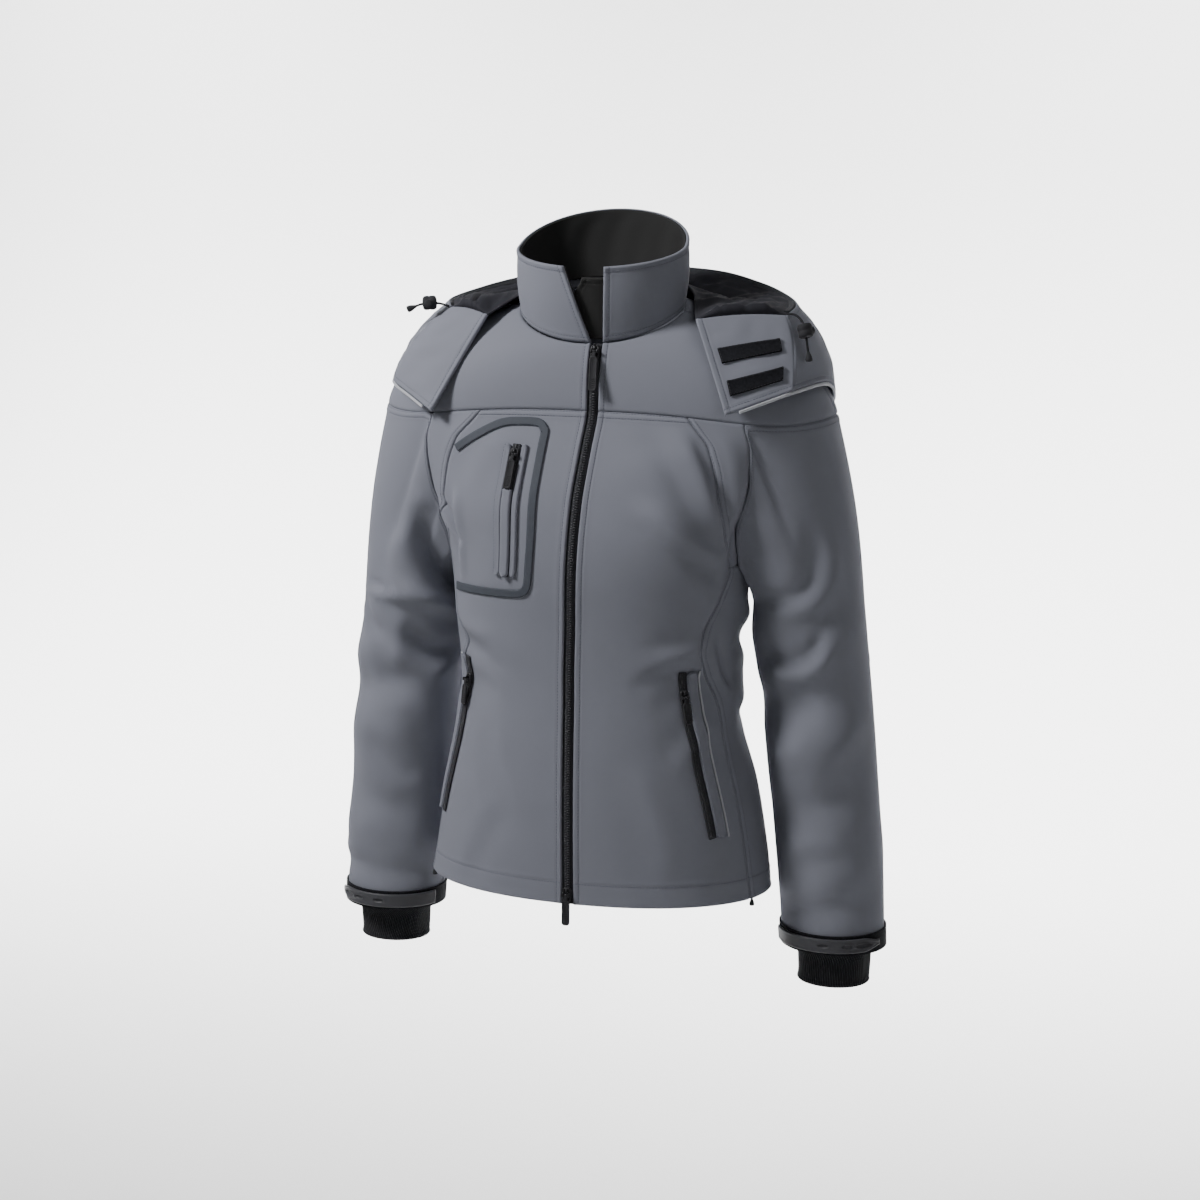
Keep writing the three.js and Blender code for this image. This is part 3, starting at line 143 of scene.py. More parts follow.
# Finer creases of the body, each a ridge with a hollow along its lower side
BODY_CREASES = [
    Fold((15, 118), (60, 226), 6, 8, 6),
    Fold((21, 116), (62, 232), -2.5, 9, 3),
    Fold((29, 122), (62, 216), 4, 7, -3),
    Fold((16, 192), (64, 256), 5, 9, 6),
    Fold((59, 160), (71, 262), -5, 9, -2),
    Fold((64, 333), (80, 388), -5, 6, 2),
    Fold((-52, 200), (-46, 246), -6, 5, 2),
    Fold((-37, 190), (-51, 284), 5, 6, 2),
    Fold((-66, 176), (-60, 232), -4, 7, 3),
    Fold((-10, 128), (-30, 188), 1.8, 9, 4),
    Fold((-62, 318), (-30, 338), 2.4, 9, 5),
    Fold((-66, 352), (-24, 372), -2.4, 10, -6),
    Fold((62, 330), (30, 352), 2.5, 9, -5),
    Fold((60, 372), (22, 380), -2.2, 10, 6),
    Fold((64, 420), (40, 470), 1.8, 11, 5),
    Fold((-30, 430), (-12, 520), 1.8, 13, 6),
    Fold((24, 460), (34, 580), 2.0, 14, -5),
    Fold((-22, 520), (-36, 600), -1.7, 12, 4),
    Fold((84, 300), (112, 330), 3.6, 9, 4),
    Fold((80, 345), (116, 358), -3.6, 10, -4),
    Fold((88, 410), (116, 396), 3.0, 10, 5),
    Fold((-84, 296), (-114, 322), 3.6, 9, 4),
    Fold((-80, 340), (-116, 362), -3.3, 10, 4),
    Fold((-86, 404), (-116, 392), 3.0, 10, -5),
    Fold((124, 150), (150, 232), 3.9, 10, 6),
    Fold((-124, 146), (-152, 240), 3.6, 10, -6),
    Fold((140, 250), (168, 280), -2.7, 11, 4),
    Fold((-138, 262), (-170, 300), 3.0, 11, 5),
    Fold((140, 352), (196, 366), 3.3, 9, 5),
    Fold((-150, 348), (-196, 338), 3.0, 9, -5),
    Fold((148, 392), (205, 384), -3.0, 10, 4),
    Fold((-146, 402), (-186, 412), 2.4, 10, -4),
    Fold((150, 130), (205, 150), 2.1, 12, 6),
]

SLEEVE_FOLDS = {
    "left": [
        Fold((30, 300), (150, 372), -7, 20),
        Fold((10, 330), (120, 345), 6, 22),
        Fold((60, 398), (165, 408), -7, 18),
        Fold((10, 430), (120, 460), 5, 24),
        Fold((40, 500), (150, 528), -5, 20),
        Fold((-20, 560), (90, 590), 4, 22),
        Fold((200, 380), (300, 400), -6, 22),
        Fold((210, 450), (320, 440), 5, 24),
        Fold((190, 540), (290, 560), -5, 22),
        Fold((20, 616), (150, 630), -4, 14),
    ],
    "right": [
        Fold((-10, 330), (110, 372), -6, 20),
        Fold((20, 352), (130, 306), 6, 22),
        Fold((0, 398), (120, 350), 7, 20),
        Fold((10, 428), (130, 398), -7, 18),
        Fold((0, 475), (140, 450), 5, 24),
        Fold((20, 528), (120, 560), -5, 22),
        Fold((-30, 590), (90, 575), 4, 20),
        Fold((200, 370), (310, 390), -6, 22),
        Fold((190, 460), (300, 445), 5, 24),
        Fold((200, 550), (300, 535), -5, 22),
        Fold((10, 620), (140, 632), -4, 14),
    ],
}

# Finer creases of the sleeves. Ends are [angle from the outside towards the front, down]
SLEEVE_CREASES = {
    "left": [
        Fold((42, 218), (136, 296), -5.5, 10, 30),
        Fold((60, 330), (136, 352), -6.5, 10, 17),
        Fold((84, 376), (152, 440), -5, 20, 10),
        Fold((36, 420), (92, 500), 2.4, 16, -6),
        Fold((58, 552), (124, 560), 2.4, 12, -4),
        Fold((200, 330), (290, 352), 3, 11, 5),
        Fold((210, 410), (310, 424), 3, 11, -6),
        Fold((196, 490), (280, 512), 2.6, 12, 5),
        Fold((300, 350), (340, 372), 2.4, 10, 4),
        Fold((186, 600), (262, 622), 3.4, 10, -4),
    ],
    "right": [
        Fold((80, 207), (160, 203), 4, 7, 2),
        Fold((96, 222), (164, 312), -15, 17, 6),
        Fold((46, 303), (98, 304), -5, 5, 3),
        Fold((70, 306), (160, 338), 6, 11, -6),
        Fold((40, 322), (76, 364), -3, 7, 3),
        Fold((96, 350), (162, 384), -11, 14, 8),
        Fold((58, 398), (112, 446), 2.6, 13, 4),
        Fold((66, 470), (128, 520), -3, 14, 8),
        Fold((-16, 624), (66, 606), 2.2, 10, -4),
        Fold((204, 336), (296, 350), 3, 11, -5),
        Fold((214, 420), (306, 408), 3, 11, 6),
        Fold((196, 500), (286, 486), 2.6, 12, -5),
        Fold((302, 356), (340, 340), 2.4, 10, 4),
        Fold((190, 606), (266, 590), 3.4, 10, 4),
    ],
}

CHEST_TAPE = [
    (-134, 148), (-110, 132), (-84, 120), (-60, 117.5), (-44, 118.5), (-38, 124), (-37, 134), (-40, 200),
    (-43, 262), (-45, 280), (-50, 287), (-62, 289.5), (-100, 291), (-134, 292),
]
CHEST_ZIP = [(-64, 140), (-66, 185), (-68, 230), (-70, 272)]
HAND_ZIP = {
    "left": [(46, 366), (49, 425), (51.5, 480), (54, 540)],
    "right": [(-53, 366), (-57, 425), (-60.5, 480), (-64, 540)],
}

# Hood stations from the wearer's left round the back. inner: by the collar, rim: the face opening, low: lowest line
Station = namedtuple("Station", "inner rim low bulge sag")
HOOD = [
    Station((109, -28, -12), (196, 2, -8), (213, -36, -80), 5, -3),
    Station((98, 8, 0), (196, 40, -2), (233, 30, -78), 9, 5),
    Station((89, 40, 8), (178, 82, 4), (226, 86, -104), 16, 13),
    Station((70, 68, 18), (140, 122, 14), (186, 108, -140), 25, 25),
    Station((38, 83, 24), (84, 150, 24), (112, 126, -182), 31, 33),
    Station((0, 88, 26), (0, 162, 27), (0, 129, -200), 34, 36),
    Station((-38, 83, 24), (-84, 150, 23), (-112, 126, -182), 30, 33),
    Station((-70, 68, 18), (-140, 122, 12), (-186, 108, -140), 25, 25),
    Station((-89, 40, 8), (-170, 80, 2), (-226, 86, -104), 16, 13),
    Station((-99, 8, 0), (-178, 42, -4), (-234, 28, -82), 12, 5),
    Station((-115, -22, -14), (-166, 8, -9), (-217, -30, -86), 12, -3),
]
Flap = namedtuple("Flap", "station foot bow")
HOOD_FLAPS = {"left": Flap(0, (152, -70, -103), 5), "right": Flap(1, (-160, -70, -110), 9)}

HOOD_CORDS = {
    "left": [
        (196.9, 1.5, -7.6), (205, -2.6, -7.9), (212, -7, -12), (216.5, -10, -19),
        (219, -12, -27), (220.5, -13.5, -35), (222, -15, -43),
    ],
    "right": [
        (-168, 7.1, -9.4), (-173.5, 4.9, -7.4), (-179, 3.2, -6.2), (-185, 2, -5.8),
        (-191, 0.8, -6.2), (-197, -0.2, -7.6), (-202, -1, -9.5),
    ],
}


class JacketSizes(bpy.types.PropertyGroup):
    """Cloth and sewing sizes"""
    wall: FloatProperty(name="Shell cloth", description="Thickness of the shell cloth", default=0.0022,
                        unit="LENGTH")
    sink: FloatProperty(name="Seam depth", description="How deep a seam draws the cloth in", default=0.0013,
                        unit="LENGTH")
    pitch: FloatProperty(name="Stitch pitch", description="Distance from stitch to stitch", default=0.0032,
                         unit="LENGTH")
    stitch: FloatProperty(name="Stitch length", description="Length of one stitch", default=0.0025,
                          unit="LENGTH")
    thread: FloatProperty(name="Thread", description="Thickness of the sewing thread", default=0.0006,
                          unit="LENGTH")
    tooth: FloatProperty(name="Tooth pitch", description="Distance between teeth on one side of the zip",
                         default=0.0026, unit="LENGTH")
    cord: FloatProperty(name="Cord", description="Diameter of the hood drawcord", default=0.0025,
                        unit="LENGTH")


def colour_property(name, description, default):
    return FloatVectorProperty(name=name, description=description, default=default, subtype="COLOR", min=0, max=1)


class JacketColours(bpy.types.PropertyGroup):
    """Colours of the cloth and trims"""
    shell: colour_property("Shell", "Colour of the shell cloth", (0.15, 0.158, 0.2))
    fleece: colour_property("Fleece", "Colour of the inner fleece", (0.012, 0.012, 0.015))
    # Lighter than the lining's own mid-dark grey: painted light that makes up for the shade the lining gets inside
    # the hood
    lining: colour_property("Lining", "Colour of the hood lining", (0.25, 0.252, 0.28))
    tape: colour_property("Bonded tape", "Colour of the chest pocket's tape", (0.06, 0.068, 0.086))
    piping: colour_property("Piping", "Colour of the reflective piping", (0.55, 0.56, 0.6))
    black: colour_property("Zip", "Colour of zips and tapes", (0.036, 0.037, 0.043))
    rubber: colour_property("Rubber", "Colour of moulded parts", (0.026, 0.027, 0.031))
    tab: colour_property("Cuff tabs", "Colour of the moulded cuff tabs", (0.065, 0.066, 0.074))
    hook: colour_property("Hook and loop", "Colour of the hook and loop tape", (0.012, 0.0125, 0.016))
    backdrop: colour_property("Backdrop", "Colour of the floor and backdrop", (0.82, 0.82, 0.82))


class JacketStage(bpy.types.PropertyGroup):
    """Viewpoint and lights"""
    azimuth: FloatProperty(name="Azimuth", description="Viewpoint's turn to the wearer's left",
                           default=17.5 * DEGREE, subtype="ANGLE")
    elevation: FloatProperty(name="Elevation", description="Viewpoint's height angle",
                             default=11.5 * DEGREE, subtype="ANGLE")
    distance: FloatProperty(name="Distance", description="Viewpoint's distance from the aim", default=2.6,
                            unit="LENGTH")
    aim_drop: FloatProperty(name="Aim", description="How far below the neck point the view is aimed",
                            default=0.312, unit="LENGTH")
    floor_drop: FloatProperty(name="Floor", description="Height of the shoulders over the floor", default=1.35,
                              unit="LENGTH")


def sizes():
    return bpy.context.scene.jacket_sizes


def colours():
    return bpy.context.scene.jacket_colours


# Curves and tables

def smooth(start, end, value):
    share = np.clip((np.asarray(value, float) - start) / (end - start), 0, 1)
    return share * share * (3 - 2 * share)


def mix(a, b, share):
    return a + (b - a) * share


def read(rows, down, column):
    """A table's column at heights down the garment, on a smooth curve through its rows."""
    downs = np.array([row.down for row in rows], float)
    values = np.array([getattr(row, column) for row in rows], float)
    down = np.asarray(down, float)
    i = np.clip(np.searchsorted(downs, down, side="right") - 1, 0, len(rows) - 2)
    before = np.maximum(i - 1, 0)
    after = np.minimum(i + 2, len(rows) - 1)
    step = downs[i + 1] - downs[i]
    share = np.clip((down - downs[i]) / step, 0, 1)
    slope_a = (values[i + 1] - values[before]) / (downs[i + 1] - downs[before]) * step
    slope_b = (values[after] - values[i]) / (downs[after] - downs[i]) * step
    two = share ** 2
    three = share ** 3
    return ((2 * three - 3 * two + 1) * values[i] + (three - 2 * two + share) * slope_a
            + (3 * two - 2 * three) * values[i + 1] + (three - two) * slope_b)


def through(points, count):
    """Points on a smooth curve through a few given points."""
    knots = np.asarray(points, float)
    ends = [2 * knots[0] - knots[1], *knots, 2 * knots[-1] - knots[-2]]
    places = np.linspace(0, len(knots) - 1, count)
    line = []
    for place in places:
        i = min(int(place), len(knots) - 2)
        t = place - i
        a, b, c, d = ends[i:i + 4]
        line.append(0.5 * (2 * b + (c - a) * t + (2 * a - 5 * b + 4 * c - d) * t ** 2
                           + (3 * b - a - 3 * c + d) * t ** 3))
    return np.array(line)


def lengths(line):
    """Distance along a line of points, from its first point."""
    steps = np.linalg.norm(np.diff(line, axis=0), axis=1)
    return np.concatenate([[0], np.cumsum(steps)])


def at_distances(line, distances):
    """Points of a line at given distances along it."""
    run = lengths(line)
    return np.stack([np.interp(distances, run, line[:, k]) for k in range(line.shape[1])], axis=1)


def unit(vectors):
    return vectors / np.maximum(np.linalg.norm(vectors, axis=-1, keepdims=True), 1e-9)


def fold_height(folds, u, v, creased):
    """Height of soft folds at places on the cloth; a creased fold has a hollow along its lower side."""
    height = np.zeros(np.broadcast(u, v).shape)
    for fold in folds:
        (u0, v0), (u1, v1) = fold.start, fold.end
        long = math.hypot(u1 - u0, v1 - v0)
        share = ((u - u0) * (u1 - u0) + (v - v0) * (v1 - v0)) / long ** 2
        taper = smooth(-0.3, 0.25, share) * smooth(1.3, 0.75, share)
        if creased:
            off = ((v - v0) * (u1 - u0) - (u - u0) * (v1 - v0)) / long
            away = (off - fold.bow * np.sin(np.clip(share, 0, 1) * math.pi)) / fold.width
            profile = np.exp(-away ** 2) - 0.6 * np.exp(-((away - 1.7) / 1.1) ** 2)
            taper = smooth(-0.1, 0.2, share) * smooth(1.1, 0.8, share)
        else:
            inside = np.clip(share, 0, 1)
            profile = np.exp(-((u - u0 - inside * (u1 - u0)) ** 2
                               + (v - v0 - inside * (v1 - v0)) ** 2) / fold.width ** 2)
        height += fold.depth * taper * profile
    return height


# The body's surface: turn is in radians, + to the wearer's left

TURN_TO_MM = 2.4


def in_turns(folds):
    """Folds whose ends are given in degrees round the body, with both ends in millimetres."""
    return [fold._replace(start=(fold.start[0] * TURN_TO_MM, fold.start[1]),
                          end=(fold.end[0] * TURN_TO_MM, fold.end[1])) for fold in folds]


def ring_xy(section, turn):
    half, front, side, back, square = section
    across = np.sin(turn)
    ahead = np.cos(turn)
    reach = np.abs(ahead) ** (2 / square) * np.where(ahead > 0, front - side, back - side)
    return half * np.sign(across) * np.abs(across) ** (2 / square), side + reach


def body_point(turn, down):
    turn, down = np.broadcast_arrays(np.asarray(turn, float), np.asarray(down, float))
    section = [read(BODY, down, column) for column in ("half", "front", "side", "back", "square")]
    x, y = ring_xy(section, turn)
    large = np.zeros(turn.shape)
    fine = np.zeros(turn.shape)
    for lap in (-360, 0, 360):
        u = (turn / DEGREE + lap) * TURN_TO_MM
        large += fold_height(in_turns(BODY_FOLDS), u, down, False)
        fine += fold_height(in_turns(BODY_CREASES), u, down, True)
    height = large * smooth(YOKE_DOWN, YOKE_DOWN + 45, down) + fine * smooth(YOKE_DOWN + 2, YOKE_DOWN + 22, down)
    outward = unit(np.stack([x, y], axis=-1))
    return np.stack([x + outward[..., 0] * height, y + outward[..., 1] * height, -down], axis=-1)


def turn_at_x(down, x):
    half, square = read(BODY, down, "half"), read(BODY, down, "square")
    return np.sign(x) * np.arcsin((np.abs(x) / half) ** (square / 2))


def yoke_seam_at(turn):
    return YOKE_DOWN + 7 * np.sin(turn) ** 2 + 7 * np.sin(2 * turn) ** 2


def hem_at(turn):
    return HEM_DOWN + TAIL_DROP * (0.5 - 0.5 * np.cos(turn)) - 4 * np.sin(turn) ** 2


def level_at(level, turn):
    """Real height of a nominal level, which bends to the yoke seam at the top and to the hem."""
    near_top = np.clip((135 - level) / (135 - YOKE_DOWN), 0, 1)
    near_hem = np.clip((level - 588) / (HEM_DOWN - 588), 0, 1)
    return level + near_top * (yoke_seam_at(turn) - YOKE_DOWN) + near_hem * (hem_at(turn) - HEM_DOWN)


def seam_turn(column, side, level):
    if column == "zip":
        return turn_at_x(level, read(SEAMS, level, "zip") + side * ZIP_HALF)
    turn = read(SEAMS, level, column) * DEGREE
    return side * turn if side else 2 * math.pi - turn


def body_grid(near, far, top, bottom, columns=110, rows=150):
    """Outer points between two seams, each given as a column of SEAMS and a side."""
    levels = np.linspace(top, bottom, rows)[:, None]
    share = np.linspace(0, 1, columns)[None, :]
    turn = mix(seam_turn(*near, levels), seam_turn(*far, levels), share)
    return body_point(turn, level_at(levels, turn))


def armhole_bottom(side, share):
    turn = side * mix(read(SEAMS, ARMPIT_DOWN, "arm_front"), read(SEAMS, ARMPIT_DOWN, "arm_back"), share) * DEGREE
    return turn, ARMPIT_DOWN + 10 * np.sin(share * math.pi)


def side_grid(side, columns=110, rows=110):
    """The side panel, whose top follows the chest side strip and then the bottom of the armhole."""
    levels = np.linspace(ARMPIT_DOWN, HEM_DOWN, rows)[:, None]
    share = np.linspace(0, 1, columns)[None, :]
    front = seam_turn("front", side, levels)
    arm_front = seam_turn("arm_front", side, levels)
    arm_back = seam_turn("arm_back", side, levels)
    strip = 0.25
    beyond = np.clip((share - strip) / (1 - strip), 0, 1)
    turn = np.where(share < strip, mix(front, arm_front, share / strip), mix(arm_front, arm_back, beyond))
    dip = 10 * np.sin(beyond * math.pi) * np.clip((290 - levels) / (290 - ARMPIT_DOWN), 0, 1)
    return body_point(turn, level_at(levels, turn) + dip)


def neck_point(turn):
    x, y = ring_xy((NECK.half, NECK.front, NECK.side, NECK.back, 2), turn)
    ahead = np.cos(turn)
    z = (NECK.side_z + (NECK.front_z - NECK.side_z) * np.maximum(0, ahead) ** 1.3
         + (NECK.back_z - NECK.side_z) * np.maximum(0, -ahead))
    return np.stack([x, y, z], axis=-1)


def rim_point(turn):
    x, y = ring_xy((RIM.half, RIM.front, RIM.side, RIM.back, 2), turn)
    ahead = np.cos(turn)
    slope = np.where(ahead > 0, RIM.front_z - RIM.side_z, RIM.side_z - RIM.back_z)
    return np.stack([x, y, RIM.side_z + ahead * slope], axis=-1)


ZIP_TOP_X = float(read(SEAMS, YOKE_DOWN, "zip"))


def neck_turn_for(side, seam_turns):
    """Turns on the neck seam that face given turns of the yoke seam, on one front."""
    start = math.asin((ZIP_TOP_X + side * ZIP_HALF) / NECK.half)
    first = float(seam_turn("zip", side, YOKE_DOWN))
    return mix(start, side * math.pi / 2, (seam_turns - first) / (side * math.pi / 2 - first))


def yoke_line(neck, seam, share):
    """The yoke's outer line from the neck seam to the yoke seam."""
    away = (seam - neck) * [1, 1, 0]
    fall = (seam - neck) * [0, 0, 1]
    near_neck = neck + away * 0.45 + fall * 0.12
    near_seam = neck + away * 0.95 + fall * 0.55
    back = 1 - share
    return (back ** 3 * neck + 3 * back ** 2 * share * near_neck + 3 * back * share ** 2 * near_seam
            + share ** 3 * seam)


def yoke_grid(neck_turns, seam_turns, rows=60):
    neck = neck_point(neck_turns)[None]
    seam = body_point(seam_turns, yoke_seam_at(seam_turns))[None]
    return yoke_line(neck, seam, np.linspace(0, 1, rows)[:, None, None])


def front_yoke_grid(side, columns=90):
    turns = np.linspace(float(seam_turn("zip", side, YOKE_DOWN)), side * math.pi / 2, columns)
    if side < 0:
        turns = turns[::-1]
    return yoke_grid(neck_turn_for(side, turns), turns)


# Sleeves

def sleeve_ring(side, down, angle):
    x = read(SLEEVE, down, "x") + read(SLEEVE, down, "wide") * np.cos(angle)
    y = read(SLEEVE, down, "y") + read(SLEEVE, down, "deep") * np.sin(angle)
    return np.stack([side * x, y, -down * np.ones_like(x)], axis=-1)


def armhole_point(side, degrees):
    """The armhole at angles round the sleeve's top, from -60 at the front of the cap to 300."""
    cap = np.clip((degrees + 60) / 115, 0, 1) * 9
    top = math.pi / 2
    front = abs(float(seam_turn("arm_front", side, YOKE_DOWN)))
    back = abs(float(seam_turn("arm_back", side, YOKE_DOWN)))
    cap_turn = side * np.where(cap < 5, mix(front, top, cap / 5), mix(top, back, (cap - 5) / 4))
    levels = [105, 135, 160, 185, 210, 235, 262]
    back_level = np.interp(degrees, np.linspace(55, 140, 7), levels)
    front_level = np.interp(degrees, np.linspace(220, 300, 7), levels[::-1])
    bottom_turn, bottom_down = armhole_bottom(side, np.clip((220 - degrees) / 80, 0, 1))
    back_turn = seam_turn("arm_back", side, back_level)
    front_turn = seam_turn("arm_front", side, front_level)
    ranges = [degrees < 55, degrees < 140, degrees < 220]
    turn = np.select(ranges, [cap_turn, back_turn, bottom_turn], front_turn)
    down = np.select(ranges, [yoke_seam_at(cap_turn), level_at(back_level, back_turn), bottom_down],
                     level_at(front_level, front_turn))
    return body_point(turn, down)


def sleeve_lift(side_name, degrees, down):
    large = np.zeros(np.broadcast(degrees, down).shape)
    fine = np.zeros(large.shape)
    around = (720 - degrees) % 360
    from_outside = np.minimum(around, 360 - around)
    straight = 1 - 0.8 * np.exp(-(from_outside / 42) ** 2)
    for lap in (-360, 0, 360):
        large += fold_height(SLEEVE_FOLDS[side_name], around + lap, down, False)
        fine += fold_height(SLEEVE_CREASES[side_name], around + lap, down, True)
    return (large * straight + fine) * smooth(CUFF_DOWN, CUFF_DOWN - 20, down)


# The sleeve's seam runs under the arm
SLEEVE_SEAM = 180


def sleeve_grid(side_name, columns=150):
    side = 1 if side_name == "left" else -1
    degrees = np.linspace(SLEEVE_SEAM, SLEEVE_SEAM + 360, columns)
    wrapped = (degrees + 60) % 360 - 60
    top = armhole_point(side, wrapped)[None]
    angle = degrees * DEGREE
    low = sleeve_ring(side, np.full(columns, float(SLEEVE_JOIN)), angle)[None]
    share = np.linspace(0, 1, 60)[:, None, None]
    upper = mix(top, low, share)
    outward = np.stack([side * np.cos(angle), np.sin(angle), np.zeros(columns)], axis=-1)[None]
    on_cap = smooth(-75, -30, wrapped) * smooth(75, 35, wrapped)
    swell = 5 * on_cap[None, :, None] * np.sin(share * math.pi)
    lift = sleeve_lift(side_name, degrees[None], -upper[..., 2])[..., None] * smooth(0, 0.6, share)
    upper = upper + outward * (lift + swell)
    downs = np.linspace(SLEEVE_JOIN, CUFF_DOWN, 150)[1:, None]
    lower = sleeve_ring(side, downs, angle[None])
    lower = lower + outward * sleeve_lift(side_name, degrees[None], downs)[..., None]
    grid = np.concatenate([upper, lower])
    return grid if side > 0 else grid[:, ::-1]


# Collar

def neck_loop(count=170):
    """Turns on the neck seam from the wearer's left front edge round the back to the right one."""
    first = math.asin((ZIP_TOP_X + ZIP_HALF) / NECK.half)
    last = 2 * math.pi + math.asin((ZIP_TOP_X - ZIP_HALF) / NECK.half)
    return np.linspace(first, last, count)


def collar_point(turn, share):
    loop = neck_loop(2)
    from_left = (turn - loop[0]) / (loop[1] - loop[0])
    left = math.asin(COLLAR_OPEN["left"] / RIM.half)
    right = 2 * math.pi + math.asin(COLLAR_OPEN["right"] / RIM.half)
    low = neck_point(turn)
    high = rim_point(mix(left, right, from_left))
    share = np.asarray(share, float)[..., None]
    bow = 3 * np.sin(share * math.pi)
    outward = np.stack([np.sin(turn), -np.cos(turn), np.zeros_like(turn)], axis=-1)
    return mix(low, high, share) + outward * bow


def collar_grid(rows=50):
    turns = neck_loop()[None] * np.ones((rows, 1))
    shares = np.linspace(1, 0, rows)[:, None] * np.ones((1, turns.shape[1]))
    return collar_point(turns, shares)


# Hood

def hood_curve(edge, place):
    """A point of a hood edge at a place from 0 at the wearer's left to 1 at the right."""
    knots = [getattr(station, edge) for station in HOOD]
    if edge in ("bulge", "sag"):
        knots = [(value, 0, 0) for value in knots]
    fine = through(knots, 601)
    index = np.clip(np.asarray(place, float), 0, 1) * 600
    return np.stack([np.interp(index, np.arange(601), fine[:, k]) for k in range(3)], axis=-1)


def from_neck(points):
    return unit((points - [0, NECK.side, 0]) * [1, 1, 0])


def hood_outer(place, share):
    rim = hood_curve("rim", place)
    low = hood_curve("low", place)
    swell = hood_curve("bulge", place)[..., :1]
    middle = mix(rim, low, 0.42) + from_neck((rim + low) / 2) * 2 * swell
    share = np.asarray(share, float)[..., None]
    return (1 - share) ** 2 * rim + 2 * share * (1 - share) * middle + share ** 2 * low


def hood_inner(place, share):
    inner = hood_curve("inner", place)
    rim = hood_curve("rim", place)
    hang = hood_curve("sag", place)[..., :1]
    share = np.asarray(share, float)[..., None]
    return mix(inner, rim, share) - hang * 4 * share * (1 - share) * np.array([0, 0, 1])


def flap_point(flap, u, v):
    """A hood corner: u from the free edge by the collar to the hood, v from the top to the bottom."""
    foot = np.array(flap.foot, float)
    u, v = np.broadcast_arrays(np.asarray(u, float), np.asarray(v, float))
    place = np.full(u.shape, float(flap.station))
    zero = np.zeros(u.shape)
    one = np.ones(u.shape)
    top, outer = hood_inner(place, u), hood_outer(place, v)
    near, corner, low = hood_inner(place, zero), hood_inner(place, one), hood_outer(place, one)
    s, t = u[..., None], v[..., None]
    free = mix(near, foot, t)
    bottom = mix(foot, low, s)
    point = ((1 - t) * top + t * bottom + (1 - s) * free + s * outer
             - (1 - s) * (1 - t) * near - s * (1 - t) * corner - (1 - s) * t * foot - s * t * low)
    return point + from_neck(point) * flap.bow * np.sin(s * math.pi) * np.sin(t * math.pi)


# Cloth walls

# Distances in mm from an edge at which a panel gets a line of points, by how the edge is finished
EDGE_LINES = {
    "plain": (0, 1.5),
    "sewn": (0, 0.6, 1.3, 2.2, 4),
    "topstitched": (0, 0.5, 1, 1.6, 2.3, 4.4, 6.4, 7, 7.7, 9.5),
    "turned": (0, 0.3, 0.7, 1.2, 2, 4, 5.8, 6.5, 7.2, 9),
    "hem": (0, 0.3, 0.7, 1.2, 2.2, 6, 12, 18, 22.2, 23, 23.8, 26),
    "soft": (0, 0.2, 0.5, 0.9, 1.5, 2.4),
}
STITCH_ROWS = {"topstitched": (1.6, 7), "turned": (6.5,), "hem": (23,)}
TILE = 4.5


def spread(total, near, far, tile):
    """Places across a panel: close together by its edges and even between them."""
    room = total - near[-1] - far[-1]
    if room < tile:
        tight = 0.45 * total
        near = [tight * place / near[-1] for place in near]
        far = [tight * place / far[-1] for place in far]
        room = total - near[-1] - far[-1]
    count = max(2, round(room / tile))
    middle = np.linspace(near[-1], total - far[-1], count + 1)[1:-1]
    return np.concatenate([near, middle, total - np.array(far[::-1])]), near[-1], far[-1]


def laid_out(grid, near, far, tile):
    """Each line of a grid divided anew, with the lines by its ends at set distances from them."""
    runs = [lengths(line)[-1] for line in grid]
    total = float(np.median(runs))
    places, near_end, far_end = spread(total, near, far, tile)
    lines = []
    for line, run in zip(grid, runs):
        tight = min(1, 0.9 * run / (near_end + far_end))
        knots = [0, near_end * tight, run - far_end * tight, run]
        lines.append(at_distances(line, np.interp(places, [0, near_end, total - far_end, total], knots)))
    return np.array(lines)


def retile(grid, edges, tile=TILE):
    """A dense grid of points laid out in even tiles. Edges are the finishes of left, right, top and bottom."""
    left, right, top, bottom = (EDGE_LINES[edge] for edge in edges)
    wide = laid_out(grid, left, right, tile)
    return laid_out(wide.transpose(1, 0, 2), top, bottom, tile).transpose(1, 0, 2)


def edge_distances(grid):
    """How far each point of a grid is from its left, right, top and bottom edges."""
    across = np.linalg.norm(np.diff(grid, axis=1), axis=2)
    down = np.linalg.norm(np.diff(grid, axis=0), axis=2)
    left = np.concatenate([np.zeros((grid.shape[0], 1)), np.cumsum(across, axis=1)], axis=1)
    top = np.concatenate([np.zeros((1, grid.shape[1])), np.cumsum(down, axis=0)], axis=0)
    return left, left[:, -1:] - left, top, top[-1:] - top


def normals_of(grid):
    return unit(np.cross(np.gradient(grid, axis=0), np.gradient(grid, axis=1)))


def bump(place, width, distance):
    return np.exp(-((distance - place) / width) ** 2)


def edge_relief(finish, distance, wall, sink):
    """Height added by an edge's finish at a distance from it: a drawn-in seam, a raised fold, stitched grooves."""
    if finish == "plain":
        return np.zeros(distance.shape)
    if finish == "sewn":
        return -sink * bump(0, 1.3, distance)
    rows = sum(bump(row, 0.6, distance) for row in STITCH_ROWS.get(finish, ()))
    if finish == "topstitched":
        fold = smooth(0.3, 2.2, distance) * smooth(9.2, 7.6, distance)
        return -sink * bump(0, 1, distance) + 0.5 * fold - 0.45 * rows
    roll = np.clip(1 - distance / (0.9 * wall), 0, 1)
    depth = {"turned": 8.5, "hem": 25.5, "soft": 0}[finish]
    fold = 0.4 * smooth(depth, depth - 1.6, distance) + 0.7 * bump(1.8, 1.3, distance)
    return fold - 0.5 * wall * (1 - np.sqrt(1 - roll ** 2)) - 0.45 * rows


